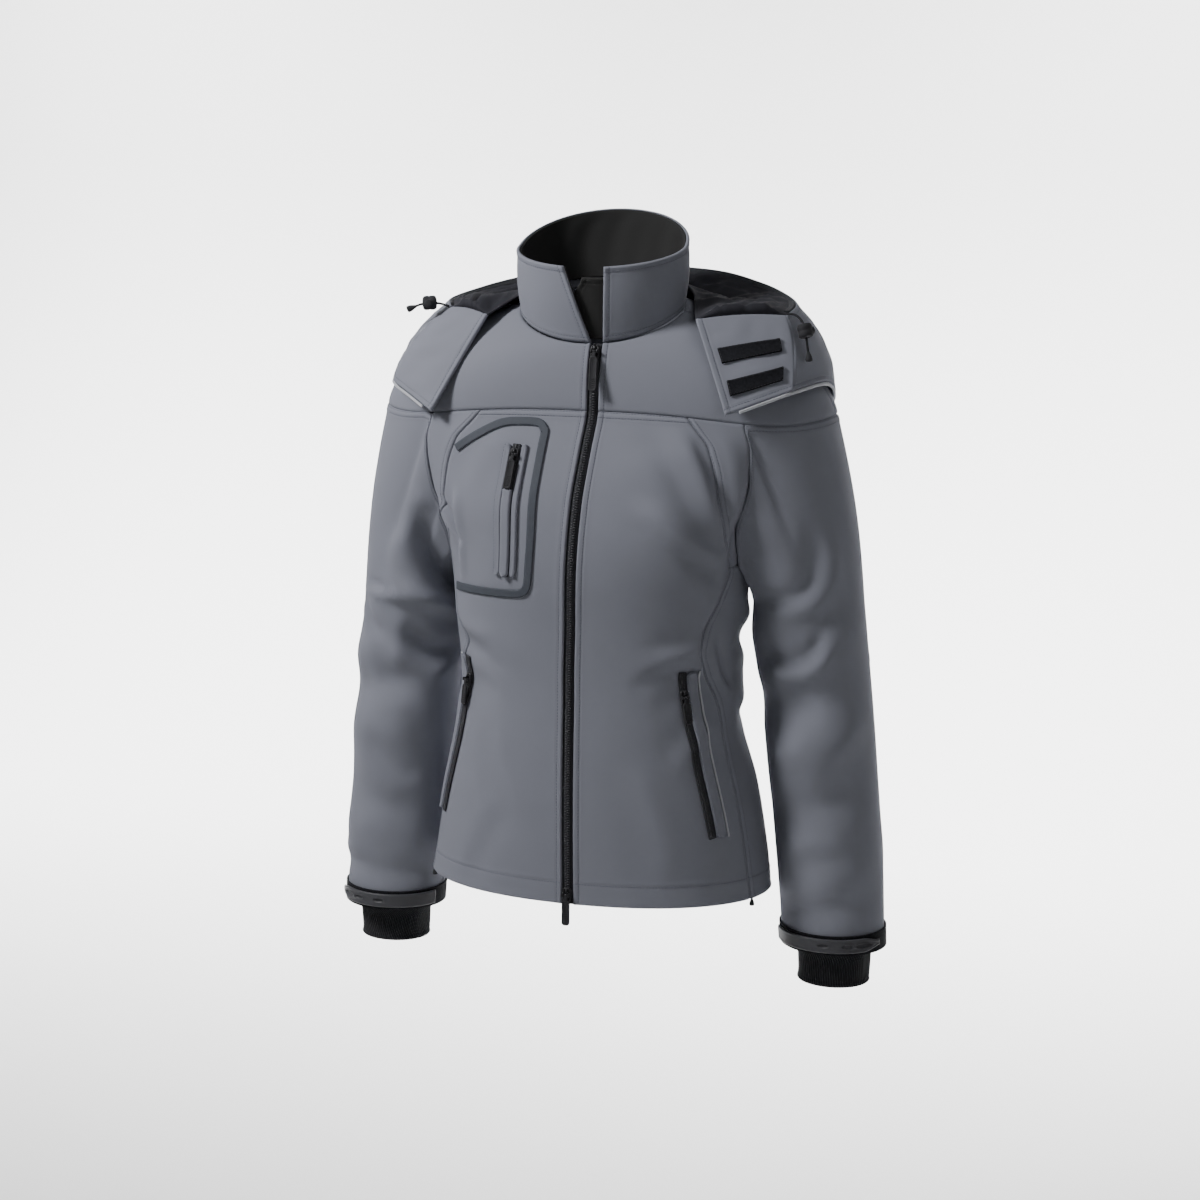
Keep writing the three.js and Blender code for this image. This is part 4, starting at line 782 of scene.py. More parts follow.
def add_mesh(name, points, faces, material, body=BODY_NAME, attributes=()):
    """A smooth mesh from points in mm, which moves with a body of the CAD part."""
    name = f"{name}_look"
    mesh = bpy.data.meshes.new(name)
    mesh.from_pydata((np.asarray(points, float) * MM).tolist(), [], [list(map(int, face)) for face in faces])
    mesh.shade_smooth()
    for key, values in attributes:
        vectors = np.ndim(values) == 2
        layer = mesh.attributes.new(key, "FLOAT_VECTOR" if vectors else "FLOAT", "POINT")
        layer.data.foreach_set("vector" if vectors else "value", np.ravel(values).astype(np.float32))
    mesh.materials.append(material)
    piece = bpy.data.objects.new(name, mesh)
    bpy.context.scene.collection.objects.link(piece)
    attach(piece, body)
    return piece


def wall_faces(rows, columns):
    """Faces of a closed wall whose outer points come first and are followed by its inner ones."""
    index = np.arange(rows * columns).reshape(rows, columns)
    a, b, c, d = index[:-1, :-1], index[1:, :-1], index[1:, 1:], index[:-1, 1:]
    outer = np.stack([a, b, c, d], axis=-1).reshape(-1, 4)
    inner = outer[:, ::-1] + rows * columns
    count = rows * columns
    borders = [
        (index[:-1, 0], index[1:, 0], False), (index[:-1, -1], index[1:, -1], True),
        (index[0, :-1], index[0, 1:], True), (index[-1, :-1], index[-1, 1:], False),
    ]
    rims = []
    for near, far, flip in borders:
        rim = np.stack([near, near + count, far + count, far], axis=-1)
        rims.append(rim[:, ::-1] if flip else rim)
    return np.concatenate([outer, inner, *rims])


def cloth_wall(name, grid, edges, wall, material, tile=TILE, relief=None, sink=None, shift=0):
    """A closed wall of cloth on a grid of outer points. Returns the piece and its outer surface."""
    sink = sizes().sink / MM if sink is None else sink
    tiles = retile(grid, edges, tile)
    facing = normals_of(tiles)
    distances = edge_distances(tiles)
    height = sum(edge_relief(edge, away, wall, sink) for edge, away in zip(edges, distances))
    if relief is not None:
        height = height + relief(*distances)
    base = tiles + facing * shift
    outer = base + facing * height[..., None]
    inner = base - facing * wall
    # Nearness to the closest finished edge, which the cloth material turns into painted shade along seams and edges
    nearest = np.min([away for edge, away in zip(edges, distances) if edge != "plain"] or [distances[0] + 99],
                     axis=0)
    seam = np.exp(-nearest / 4)
    stitched = sum(np.exp(-((away - row) / 5) ** 2) for edge, away in zip(edges, distances)
                   for row in STITCH_ROWS.get(edge, ()))
    place = np.stack([distances[0], distances[2], np.zeros(seam.shape)], axis=-1) * MM
    both = [("cloth", np.tile(place.reshape(-1, 3), (2, 1))), ("seam", np.tile(seam.ravel(), 2)),
            ("pucker", np.tile(np.clip(np.broadcast_to(stitched, seam.shape), 0, 1).ravel(), 2))]
    points = np.concatenate([outer.reshape(-1, 3), inner.reshape(-1, 3)])
    piece = add_mesh(name, points, wall_faces(*tiles.shape[:2]), material, attributes=both)
    return piece, outer


# Sewing

def row_along(outer, side, distance):
    """The line on a panel's surface that runs at a distance inside one edge, and the outward directions."""
    facing = normals_of(outer)
    grids = {"left": outer, "right": outer[:, ::-1], "top": outer.transpose(1, 0, 2),
             "bottom": outer[::-1].transpose(1, 0, 2)}
    faces = {"left": facing, "right": facing[:, ::-1], "top": facing.transpose(1, 0, 2),
             "bottom": facing[::-1].transpose(1, 0, 2)}
    lines, directions = grids[side], faces[side]
    points, outs = [], []
    for line, direction in zip(lines, directions):
        run = lengths(line)
        if run[-1] < 2.5 * distance:
            continue
        points.append([np.interp(distance, run, line[:, k]) for k in range(3)])
        outs.append([np.interp(distance, run, direction[:, k]) for k in range(3)])
    return np.array(points), unit(np.array(outs))


def stitch_mesh(name, rows, material, body=BODY_NAME, raised=0.1):
    """Stitches lying along rows of points, each a short rounded length of thread."""
    pitch, long, thick = (value / MM for value in (sizes().pitch, sizes().stitch, sizes().thread))
    turns = np.arange(6) * math.pi / 3
    ring_places = [(-0.5, 0), (-0.42, 0.75), (0, 1), (0.42, 0.75), (0.5, 0)]
    points, faces = [], []
    for line, outs in rows:
        run = lengths(line)
        starts = np.arange(pitch / 2, run[-1] - pitch / 2, pitch)
        middles = at_distances(line, starts)
        ahead = unit(at_distances(line, starts + long / 2) - at_distances(line, starts - long / 2))
        out = unit(np.stack([np.interp(starts, run, outs[:, k]) for k in range(3)], axis=1))
        across = unit(np.cross(out, ahead))
        for middle, forward, up, sideways in zip(middles, ahead, out, across):
            first = len(points)
            centre = middle + up * raised
            points.append(centre - forward * long / 2 - up * thick * 0.4)
            for along_share, width in ring_places[1:-1]:
                ring = centre + forward * long * along_share
                for turn in turns:
                    reach = thick / 2 * width
                    points.append(ring + sideways * math.cos(turn) * reach + up * math.sin(turn) * reach)
            points.append(centre + forward * long / 2 - up * thick * 0.4)
            for k in range(6):
                after = (k + 1) % 6
                faces.append((first, first + 1 + after, first + 1 + k))
                for ring in (0, 1):
                    near = first + 1 + ring * 6
                    faces.append((near + k, near + after, near + 6 + after, near + 6 + k))
                faces.append((first + 19, first + 13 + k, first + 13 + after))
    piece = add_mesh(name, points, faces, material, body)
    return piece


# Tubes, plates and turned pieces

def frames_along(line, up_hint):
    """Directions ahead, sideways and up at each point of a line."""
    ahead = unit(np.gradient(line, axis=0))
    hints = np.broadcast_to(np.asarray(up_hint, float), line.shape)
    sideways = unit(np.cross(ahead, hints))
    return ahead, sideways, np.cross(sideways, ahead)


def tube(line, radius, up_hint=(0, 0, 1), sides=12, flat=1):
    """Points and faces of a closed tube along a line, with one radius or one for each point."""
    line = np.asarray(line, float)
    radii = np.broadcast_to(np.asarray(radius, float), (len(line),))
    _, sideways, up = frames_along(line, up_hint)
    turns = np.linspace(0, 2 * math.pi, sides, endpoint=False)
    rings = (line[:, None] + radii[:, None, None] * (np.cos(turns)[None, :, None] * sideways[:, None]
             + flat * np.sin(turns)[None, :, None] * up[:, None]))
    points = [*rings.reshape(-1, 3), line[0], line[-1]]
    faces = []
    last = (len(line) - 1) * sides
    for k in range(sides):
        after = (k + 1) % sides
        for ring in range(len(line) - 1):
            near = ring * sides
            faces.append((near + k, near + sides + k, near + sides + after, near + after))
        faces.append((len(points) - 2, k, after))
        faces.append((len(points) - 1, last + after, last + k))
    return points, faces


def turned(profile, centre, axis, sides=28):
    """A piece turned on a lathe: profile is [radius, height] pairs, height along the axis from the centre."""
    axis = unit(np.asarray(axis, float))
    side = unit(np.cross(axis, [0.3, 0.9, 0.2]))
    other = np.cross(axis, side)
    turns = np.linspace(0, 2 * math.pi, sides, endpoint=False)
    points, faces = [], []
    for radius, height in profile:
        for turn in turns:
            points.append(centre + axis * height + radius * (math.cos(turn) * side + math.sin(turn) * other))
    for ring in range(len(profile) - 1):
        for k in range(sides):
            after = (k + 1) % sides
            near = ring * sides
            faces.append((near + k, near + after, near + sides + after, near + sides + k))
    return points, faces


def joined(parts):
    """Points and faces of several pieces as one."""
    points, faces = [], []
    for part_points, part_faces in parts:
        first = len(points)
        points.extend(part_points)
        faces.extend([[first + i for i in face] for face in part_faces])
    return points, faces


# Materials

class Nodes:
    """Adds and links the nodes of one tree."""

    def __init__(self, tree):
        self.tree = tree

    def add(self, kind, inputs=(), **settings):
        node = self.tree.nodes.new(kind)
        for key, value in settings.items():
            setattr(node, key, value)
        for key, value in dict(inputs).items():
            if isinstance(value, bpy.types.NodeSocket):
                self.tree.links.new(value, node.inputs[key])
            else:
                node.inputs[key].default_value = value
        return node

    def maths(self, operation, a, b=0.0):
        return self.add("ShaderNodeMath", {0: a, 1: b}, operation=operation).outputs[0]

    def noise(self, place, scale, detail=3.0, rough=0.5):
        values = {"Vector": place, "Scale": scale, "Detail": detail, "Roughness": rough}
        return self.add("ShaderNodeTexNoise", values).outputs[0]

    def between(self, value, low, high, to_low, to_high):
        values = {"Value": value, "From Min": low, "From Max": high, "To Min": to_low, "To Max": to_high}
        return self.add("ShaderNodeMapRange", values).outputs[0]

    def tinted(self, colour, amount):
        """A colour made lighter or darker by a factor."""
        node = self.add("ShaderNodeVectorMath", {0: colour}, operation="SCALE")
        if isinstance(amount, bpy.types.NodeSocket):
            self.tree.links.new(amount, node.inputs["Scale"])
        else:
            node.inputs["Scale"].default_value = amount
        return node.outputs[0]


def new_group(name, inputs, outputs):
    group = bpy.data.node_groups.new(name, "ShaderNodeTree")
    for label, kind, default in inputs:
        socket = group.interface.new_socket(label, in_out="INPUT", socket_type="NodeSocket" + kind)
        socket.default_value = default
    for label, kind in outputs:
        group.interface.new_socket(label, in_out="OUTPUT", socket_type="NodeSocket" + kind)
    nodes = Nodes(group)
    return group, nodes, nodes.add("NodeGroupInput").outputs, nodes.add("NodeGroupOutput").inputs


def cloth_group():
    """Fine weave, uneven dye, puckered seams and painted shade along seams and finished edges."""
    group, nodes, given, made = new_group(
        "Woven cloth",
        [("Colour", "Color", (0.2, 0.2, 0.2, 1)), ("Threads", "Float", 1400), ("Weave", "Float", 0.25),
         ("Nap", "Float", 0.4), ("Uneven", "Float", 0.08), ("Pucker", "Float", 1)],
        [("Colour", "Color"), ("Roughness", "Float"), ("Normal", "Vector")])
    cloth = nodes.add("ShaderNodeAttribute", attribute_name="cloth").outputs["Vector"]
    seam = nodes.add("ShaderNodeAttribute", attribute_name="seam").outputs["Fac"]
    stitched = nodes.add("ShaderNodeAttribute", attribute_name="pucker").outputs["Fac"]
    place = nodes.add("ShaderNodeTexCoord").outputs["Object"]
    parts = nodes.add("ShaderNodeSeparateXYZ", {0: cloth}).outputs
    turn = nodes.maths("MULTIPLY", given["Threads"], 2 * math.pi)
    warp = nodes.maths("SINE", nodes.maths("MULTIPLY", parts[0], turn))
    weft = nodes.maths("SINE", nodes.maths("MULTIPLY", parts[1], turn))
    weave = nodes.maths("MULTIPLY", nodes.maths("MULTIPLY", warp, weft), given["Weave"])
    nap = nodes.maths("MULTIPLY", nodes.noise(place, 900, 4), given["Nap"])
    creases = nodes.maths("MULTIPLY", nodes.noise(place, 45, 3), 1.2)
    pucker = nodes.maths("MULTIPLY", nodes.maths("MULTIPLY", nodes.noise(place, 210, 2), stitched), given["Pucker"])
    fine = nodes.maths("ADD", nodes.maths("MULTIPLY", weave, 0.12), nodes.maths("MULTIPLY", nap, 0.35))
    broad = nodes.maths("ADD", creases, nodes.maths("MULTIPLY", pucker, 1.6))
    first = nodes.add("ShaderNodeBump", {"Height": broad, "Distance": 0.0011, "Strength": 0.7})
    second = nodes.add("ShaderNodeBump", {"Height": fine, "Distance": 0.00035, "Strength": 0.8,
                                          "Normal": first.outputs[0]})
    dye = nodes.between(nodes.noise(place, 320, 6, 0.7), 0.3, 0.7, -1, 1)
    cloud = nodes.between(nodes.noise(place, 9, 2), 0.35, 0.65, -0.5, 0.5)
    factor = nodes.maths("ADD", nodes.maths("MULTIPLY", nodes.maths("ADD", dye, cloud), given["Uneven"]), 1)
    # Painted shade: the colour is darkened near seams and finished edges, where the grooves would be in shade
    painted_seam_shade = nodes.maths("SUBTRACT", 1, nodes.maths("MULTIPLY", nodes.maths("POWER", seam, 4), 0.45))
    tint = nodes.tinted(given["Colour"], nodes.maths("MULTIPLY", factor, painted_seam_shade))
    nodes.tree.links.new(tint, made["Colour"])
    nodes.tree.links.new(nodes.between(nap, 0, 0.6, 0.72, 0.9), made["Roughness"])
    nodes.tree.links.new(second.outputs[0], made["Normal"])
    return group


def rib_group():
    """Knitted ribs running down a cuff, with fine stitches along them, painted shade in the hollows between ribs and
    painted light on their crests.
    """
    group, nodes, given, made = new_group(
        "Knitted ribs",
        [("Colour", "Color", (0.02, 0.02, 0.02, 1)), ("Ribs", "Float", 400), ("Stitches", "Float", 900)],
        [("Colour", "Color"), ("Normal", "Vector")])
    cloth = nodes.add("ShaderNodeAttribute", attribute_name="cloth").outputs["Vector"]
    parts = nodes.add("ShaderNodeSeparateXYZ", {0: cloth}).outputs
    turn = 2 * math.pi
    across = nodes.maths("MULTIPLY", parts[0], nodes.maths("MULTIPLY", given["Ribs"], turn))
    down = nodes.maths("MULTIPLY", parts[1], nodes.maths("MULTIPLY", given["Stitches"], turn))
    rib = nodes.maths("SINE", across)
    loops = nodes.maths("SINE", nodes.maths("ADD", down, nodes.maths("ABSOLUTE", nodes.maths("MULTIPLY", rib, 1.5))))
    height = nodes.maths("ADD", rib, nodes.maths("MULTIPLY", loops, 0.25))
    bumped = nodes.add("ShaderNodeBump", {"Height": height, "Distance": 0.0006, "Strength": 0.8})
    # Painted shade and light: the colour is darker in the rib hollows and lighter on the rib crests
    tint = nodes.tinted(given["Colour"], nodes.between(rib, -1, 1, 0.55, 1.15))
    nodes.tree.links.new(tint, made["Colour"])
    nodes.tree.links.new(bumped.outputs[0], made["Normal"])
    return group


def grain_group():
    """A moulded or plated surface's faint grain and handling marks."""
    group, nodes, given, made = new_group(
        "Fine grain",
        [("Scale", "Float", 1500), ("Depth", "Float", 0.3), ("Low", "Float", 0.4), ("High", "Float", 0.55)],
        [("Roughness", "Float"), ("Normal", "Vector")])
    place = nodes.add("ShaderNodeTexCoord").outputs["Object"]
    grain = nodes.noise(place, given["Scale"], 3)
    marks = nodes.noise(place, 180, 4)
    height = nodes.maths("MULTIPLY", grain, given["Depth"])
    bumped = nodes.add("ShaderNodeBump", {"Height": height, "Distance": 0.0002, "Strength": 0.6})
    span = nodes.maths("SUBTRACT", given["High"], given["Low"])
    level = nodes.maths("ADD", nodes.maths("MULTIPLY", marks, span), given["Low"])
    nodes.tree.links.new(level, made["Roughness"])
    nodes.tree.links.new(bumped.outputs[0], made["Normal"])
    return group


def new_material(name, group_name, outputs, inputs=(), **shader):
    """A material whose shader takes the named outputs of a node group."""
    material = bpy.data.materials.new(name)
    material.use_nodes = True
    nodes = Nodes(material.node_tree)
    bsdf = material.node_tree.nodes["Principled BSDF"]
    for key, value in shader.items():
        bsdf.inputs[key.replace("_", " ")].default_value = value
    group = nodes.add("ShaderNodeGroup", node_tree=bpy.data.node_groups[group_name])
    for key, value in dict(inputs).items():
        group.inputs[key].default_value = value
    for source, target in outputs.items():
        material.node_tree.links.new(group.outputs[source], bsdf.inputs[target])
    return material


CLOTH_OUTPUTS = {"Colour": "Base Color", "Roughness": "Roughness", "Normal": "Normal"}
GRAIN_OUTPUTS = {"Roughness": "Roughness", "Normal": "Normal"}


def make_materials():
    cloth_group()
    rib_group()
    grain_group()
    rgba = {name: (*getattr(colours(), name), 1) for name in JacketColours.__annotations__}
    soft = {"Sheen_Weight": 0.03, "Sheen_Roughness": 0.5, "Specular_IOR_Level": 0.3}
    piled = {"Sheen_Weight": 0.05, "Sheen_Roughness": 0.6, "Specular_IOR_Level": 0.1}
    shell = {"Colour": rgba["shell"], "Threads": 1300, "Weave": 0.3, "Nap": 0.4, "Uneven": 0.05}
    new_material("shell", "Woven cloth", CLOTH_OUTPUTS, shell, **soft)
    fleece = {"Colour": rgba["fleece"], "Threads": 700, "Weave": 0.2, "Nap": 1.6, "Uneven": 0.35}
    new_material("fleece", "Woven cloth", CLOTH_OUTPUTS, fleece, **piled)
    # The lining colour is set lighter than its own grey, as painted light against the shade inside the hood
    lining = {"Colour": rgba["lining"], "Threads": 1500, "Weave": 0.4, "Nap": 0.3, "Uneven": 0.12, "Pucker": 1.8}
    new_material("lining", "Woven cloth", CLOTH_OUTPUTS, lining, Specular_IOR_Level=0.6, Sheen_Weight=0.15)
    tape = {"Colour": rgba["tape"], "Threads": 1500, "Weave": 0.15, "Nap": 0.2, "Uneven": 0.05}
    new_material("tape", "Woven cloth", CLOTH_OUTPUTS, tape, Specular_IOR_Level=0.45)
    webbing = {"Colour": rgba["black"], "Threads": 1100, "Weave": 1.2, "Nap": 0.3, "Uneven": 0.1}
    new_material("webbing", "Woven cloth", CLOTH_OUTPUTS, webbing, Specular_IOR_Level=0.3)
    hook = {"Colour": rgba["hook"], "Threads": 520, "Weave": 2.6, "Nap": 2.4, "Uneven": 0.5}
    new_material("hook", "Woven cloth", CLOTH_OUTPUTS, hook, **piled)
    thread = {"Colour": (*(0.8 * value for value in rgba["shell"][:3]), 1), "Threads": 2200, "Uneven": 0.1}
    new_material("thread", "Woven cloth", CLOTH_OUTPUTS, thread, Specular_IOR_Level=0.5, Sheen_Weight=0.1)
    dark = {"Colour": rgba["black"], "Threads": 2200, "Uneven": 0.1}
    new_material("dark_thread", "Woven cloth", CLOTH_OUTPUTS, dark, Specular_IOR_Level=0.5)
    knit = {"Colour": rgba["rubber"], "Ribs": 380, "Stitches": 800}
    new_material("knit", "Knitted ribs", {"Colour": "Base Color", "Normal": "Normal"}, knit, Roughness=0.9,
                 **piled)
    piping = {"Scale": 2600, "Depth": 1.2, "Low": 0.35, "High": 0.5}
    new_material("piping", "Fine grain", GRAIN_OUTPUTS, piping, Base_Color=rgba["piping"], Coat_Weight=0.3,
                 Coat_Roughness=0.25)
    moulded = {"Scale": 1500, "Depth": 0.5, "Low": 0.38, "High": 0.55}
    new_material("rubber", "Fine grain", GRAIN_OUTPUTS, moulded, Base_Color=rgba["rubber"],
                 Specular_IOR_Level=0.5)
    new_material("tab", "Fine grain", GRAIN_OUTPUTS, moulded, Base_Color=rgba["tab"], Specular_IOR_Level=0.4)
    teeth = {"Scale": 1200, "Depth": 0.3, "Low": 0.3, "High": 0.42}
    new_material("teeth", "Fine grain", GRAIN_OUTPUTS, teeth, Base_Color=rgba["black"], Specular_IOR_Level=0.5)
    slider = {"Scale": 1200, "Depth": 0.25, "Low": 0.28, "High": 0.45}
    new_material("slider", "Fine grain", GRAIN_OUTPUTS, slider, Base_Color=(0.03, 0.031, 0.035, 1),
                 Metallic=0.6, Coat_Weight=0.4, Coat_Roughness=0.2)
    cord = {"Colour": rgba["black"], "Ribs": 900, "Stitches": 700}
    new_material("cord", "Knitted ribs", {"Colour": "Base Color", "Normal": "Normal"}, cord, Roughness=0.7,
                 Specular_IOR_Level=0.4)
    backdrop = {"Scale": 6, "Depth": 0, "Low": 0.92, "High": 0.96}
    new_material("backdrop", "Fine grain", GRAIN_OUTPUTS, backdrop, Base_Color=rgba["backdrop"],
                 Specular_IOR_Level=0.1)


def material(name):
    return bpy.data.materials[name]


# Operators

class JacketOperator(bpy.types.Operator):
    """A step of the build that can be undone"""
    bl_idname = "jacket.step"
    bl_label = "Build step"
    bl_options = {"REGISTER", "UNDO"}

    def execute(self, context):
        self.build()
        return {"FINISHED"}


class MakeStage(JacketOperator):
    """Adds the camera, the floor and the lights"""
    bl_idname = "jacket.make_stage"
    bl_label = "Make stage"

    def build(self):
        stage = bpy.context.scene.jacket_stage
        aim = Vector((0, 0, -stage.aim_drop))
        level = math.cos(stage.elevation)
        back = Vector((math.sin(stage.azimuth) * level, -math.cos(stage.azimuth) * level,
                       math.sin(stage.elevation)))
        lens = bpy.data.cameras.new("view")
        lens.sensor_width = 36
        lens.lens = 74.3
        camera = bpy.data.objects.new("view", lens)
        camera.location = aim + back * stage.distance
        camera.rotation_euler = (-back).to_track_quat("-Z", "Y").to_euler()
        bpy.context.scene.collection.objects.link(camera)
        bpy.context.scene.camera = camera
        self.make_floor(stage)
        self.make_lights(aim)

    def make_floor(self, stage):
        """A floor that curves up into a backdrop."""
        depth, height, radius, half = 3.8, 5.0, 1.4, 7.0
        profile = [(-4.0, 0.0), (depth - radius, 0.0)]
        for step in range(1, 13):
            turn = step / 12 * math.pi / 2
            profile.append((depth - radius + radius * math.sin(turn), radius - radius * math.cos(turn)))
        profile.append((depth, height))
        points = [(x, y, z - stage.floor_drop) for y, z in profile for x in (-half, half)]
        faces = [(2 * k, 2 * k + 1, 2 * k + 3, 2 * k + 2) for k in range(len(profile) - 1)]
        mesh = bpy.data.meshes.new("floor")
        mesh.from_pydata(points, [], faces)
        mesh.shade_smooth()
        mesh.materials.append(material("backdrop"))
        floor = bpy.data.objects.new("floor", mesh)
        bpy.context.scene.collection.objects.link(floor)

    def make_lights(self, aim):
        ahead = Vector((0, 0, 0.1))
        behind_left, behind_right = Vector((-1.9, 3.3, -1.3)), Vector((0.1, 3.3, -1.3))
        lights = [
            ("key", (-1.15, -0.9, 1.3), 0.45, 27, 160, ahead),
            ("fill", (1.9, -1.8, 0.6), 1.6, 5, 160, ahead),
            ("rim", (-1.9, 0.4, 0.6), 0.9, 3, 160, ahead),
            ("top", (0.6, 0.3, 2.1), 1.4, 5, 160, ahead),
            ("left backdrop", (-2.7, 2.2, 2.0), 2.2, 190, 110, behind_left),
            ("right backdrop", (0.8, 2.2, 2.0), 2.2, 190, 110, behind_right),
        ]
        for name, place, size, power, spread, target in lights:
            light = bpy.data.lights.new(name, "AREA")
            light.shape = "DISK"
            light.size = size
            light.energy = power
            light.spread = spread * DEGREE
            lamp = bpy.data.objects.new(name, light)
            lamp.location = aim + Vector(place)
            lamp.rotation_euler = (target - Vector(place)).to_track_quat("-Z", "Y").to_euler()
            bpy.context.scene.collection.objects.link(lamp)
        world = bpy.data.worlds.new("studio")
        world.use_nodes = True
        world.node_tree.nodes["Background"].inputs["Color"].default_value = (1, 1, 1, 1)
        world.node_tree.nodes["Background"].inputs["Strength"].default_value = 0.11
        bpy.context.scene.world = world


def edge_rows(outer, sides):
    """Rows of stitches for the named edges of a panel, as (edge, finish) pairs."""
    rows = []
    for side, finish in sides:
        rows += [row_along(outer, side, distance) for distance in STITCH_ROWS[finish]]
    return rows


class MakeBody(JacketOperator):
    """Replaces the fronts, chest sides, sides, back and yokes with sewn cloth panels"""
    bl_idname = "jacket.make_body"
    bl_label = "Make body panels"

    def build(self):
        wall = sizes().wall / MM
        rows = []
        for name, grid, edges in self.panels():
            piece, outer = cloth_wall(name, grid, edges, wall, material("shell"))
            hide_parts(name)
            named = zip(("left", "right", "top", "bottom"), edges)
            rows += edge_rows(outer, [(side, edge) for side, edge in named if edge in STITCH_ROWS])
        stitch_mesh("body_stitches", rows, material("thread"))

    def panels(self):
        """Each panel's name, outer points and the finishes of its left, right, top and bottom edges."""
        for name, side in (("left", 1), ("right", -1)):
            front = [("zip", side), ("front", side)]
            strip = [("front", side), ("arm_front", side)]
            front_edges = ["turned", "sewn"]
            strip_edges = ["topstitched", "sewn"]
            side_edges = ["topstitched", "sewn"]
            if side < 0:
                for pair in (front, strip, front_edges, strip_edges, side_edges):
                    pair.reverse()
            yield (f"front_{name}", body_grid(*front, YOKE_DOWN, HEM_DOWN, 150, 300),
                   (*front_edges, "topstitched", "hem"))
            yield (f"chest_side_{name}", body_grid(*strip, YOKE_DOWN, ARMPIT_DOWN, 60, 120),
                   (*strip_edges, "sewn", "sewn"))
            grid = side_grid(side, 110, 200)
            yield f"side_{name}", grid if side > 0 else grid[:, ::-1], (*side_edges, "sewn", "hem")
            edges = ("turned", "sewn") if side > 0 else ("sewn", "turned")
            yield f"yoke_front_{name}", front_yoke_grid(side), (*edges, "sewn", "sewn")
        back = body_grid(("arm_back", 1), ("arm_back", 0), YOKE_DOWN, HEM_DOWN, 260, 300)
        yield "back", back, ("topstitched", "topstitched", "topstitched", "hem")
        turns = np.linspace(math.pi / 2, 3 * math.pi / 2, 220)
        yield "yoke_back", yoke_grid(turns, turns), ("sewn", "sewn", "sewn", "sewn")


def shifted_grid(grid, distance):
    """A grid moved along its outward direction."""
    return grid + normals_of(grid) * distance


def part_of_grid(grid, top, bottom, left=0, right=1, rows=12, columns=60):
    """Part of a grid, between shares of its height and width, with new lines."""
    down = np.linspace(top, bottom, rows) * (grid.shape[0] - 1)
    across = np.linspace(left, right, columns) * (grid.shape[1] - 1)
    fine = np.stack([[np.interp(across, np.arange(grid.shape[1]), line[:, k]) for k in range(3)]
                     for line in grid]).transpose(0, 2, 1)
    low = np.clip(down.astype(int), 0, grid.shape[0] - 2)
    share = (down - low)[:, None, None]
    return mix(fine[low], fine[low + 1], share)


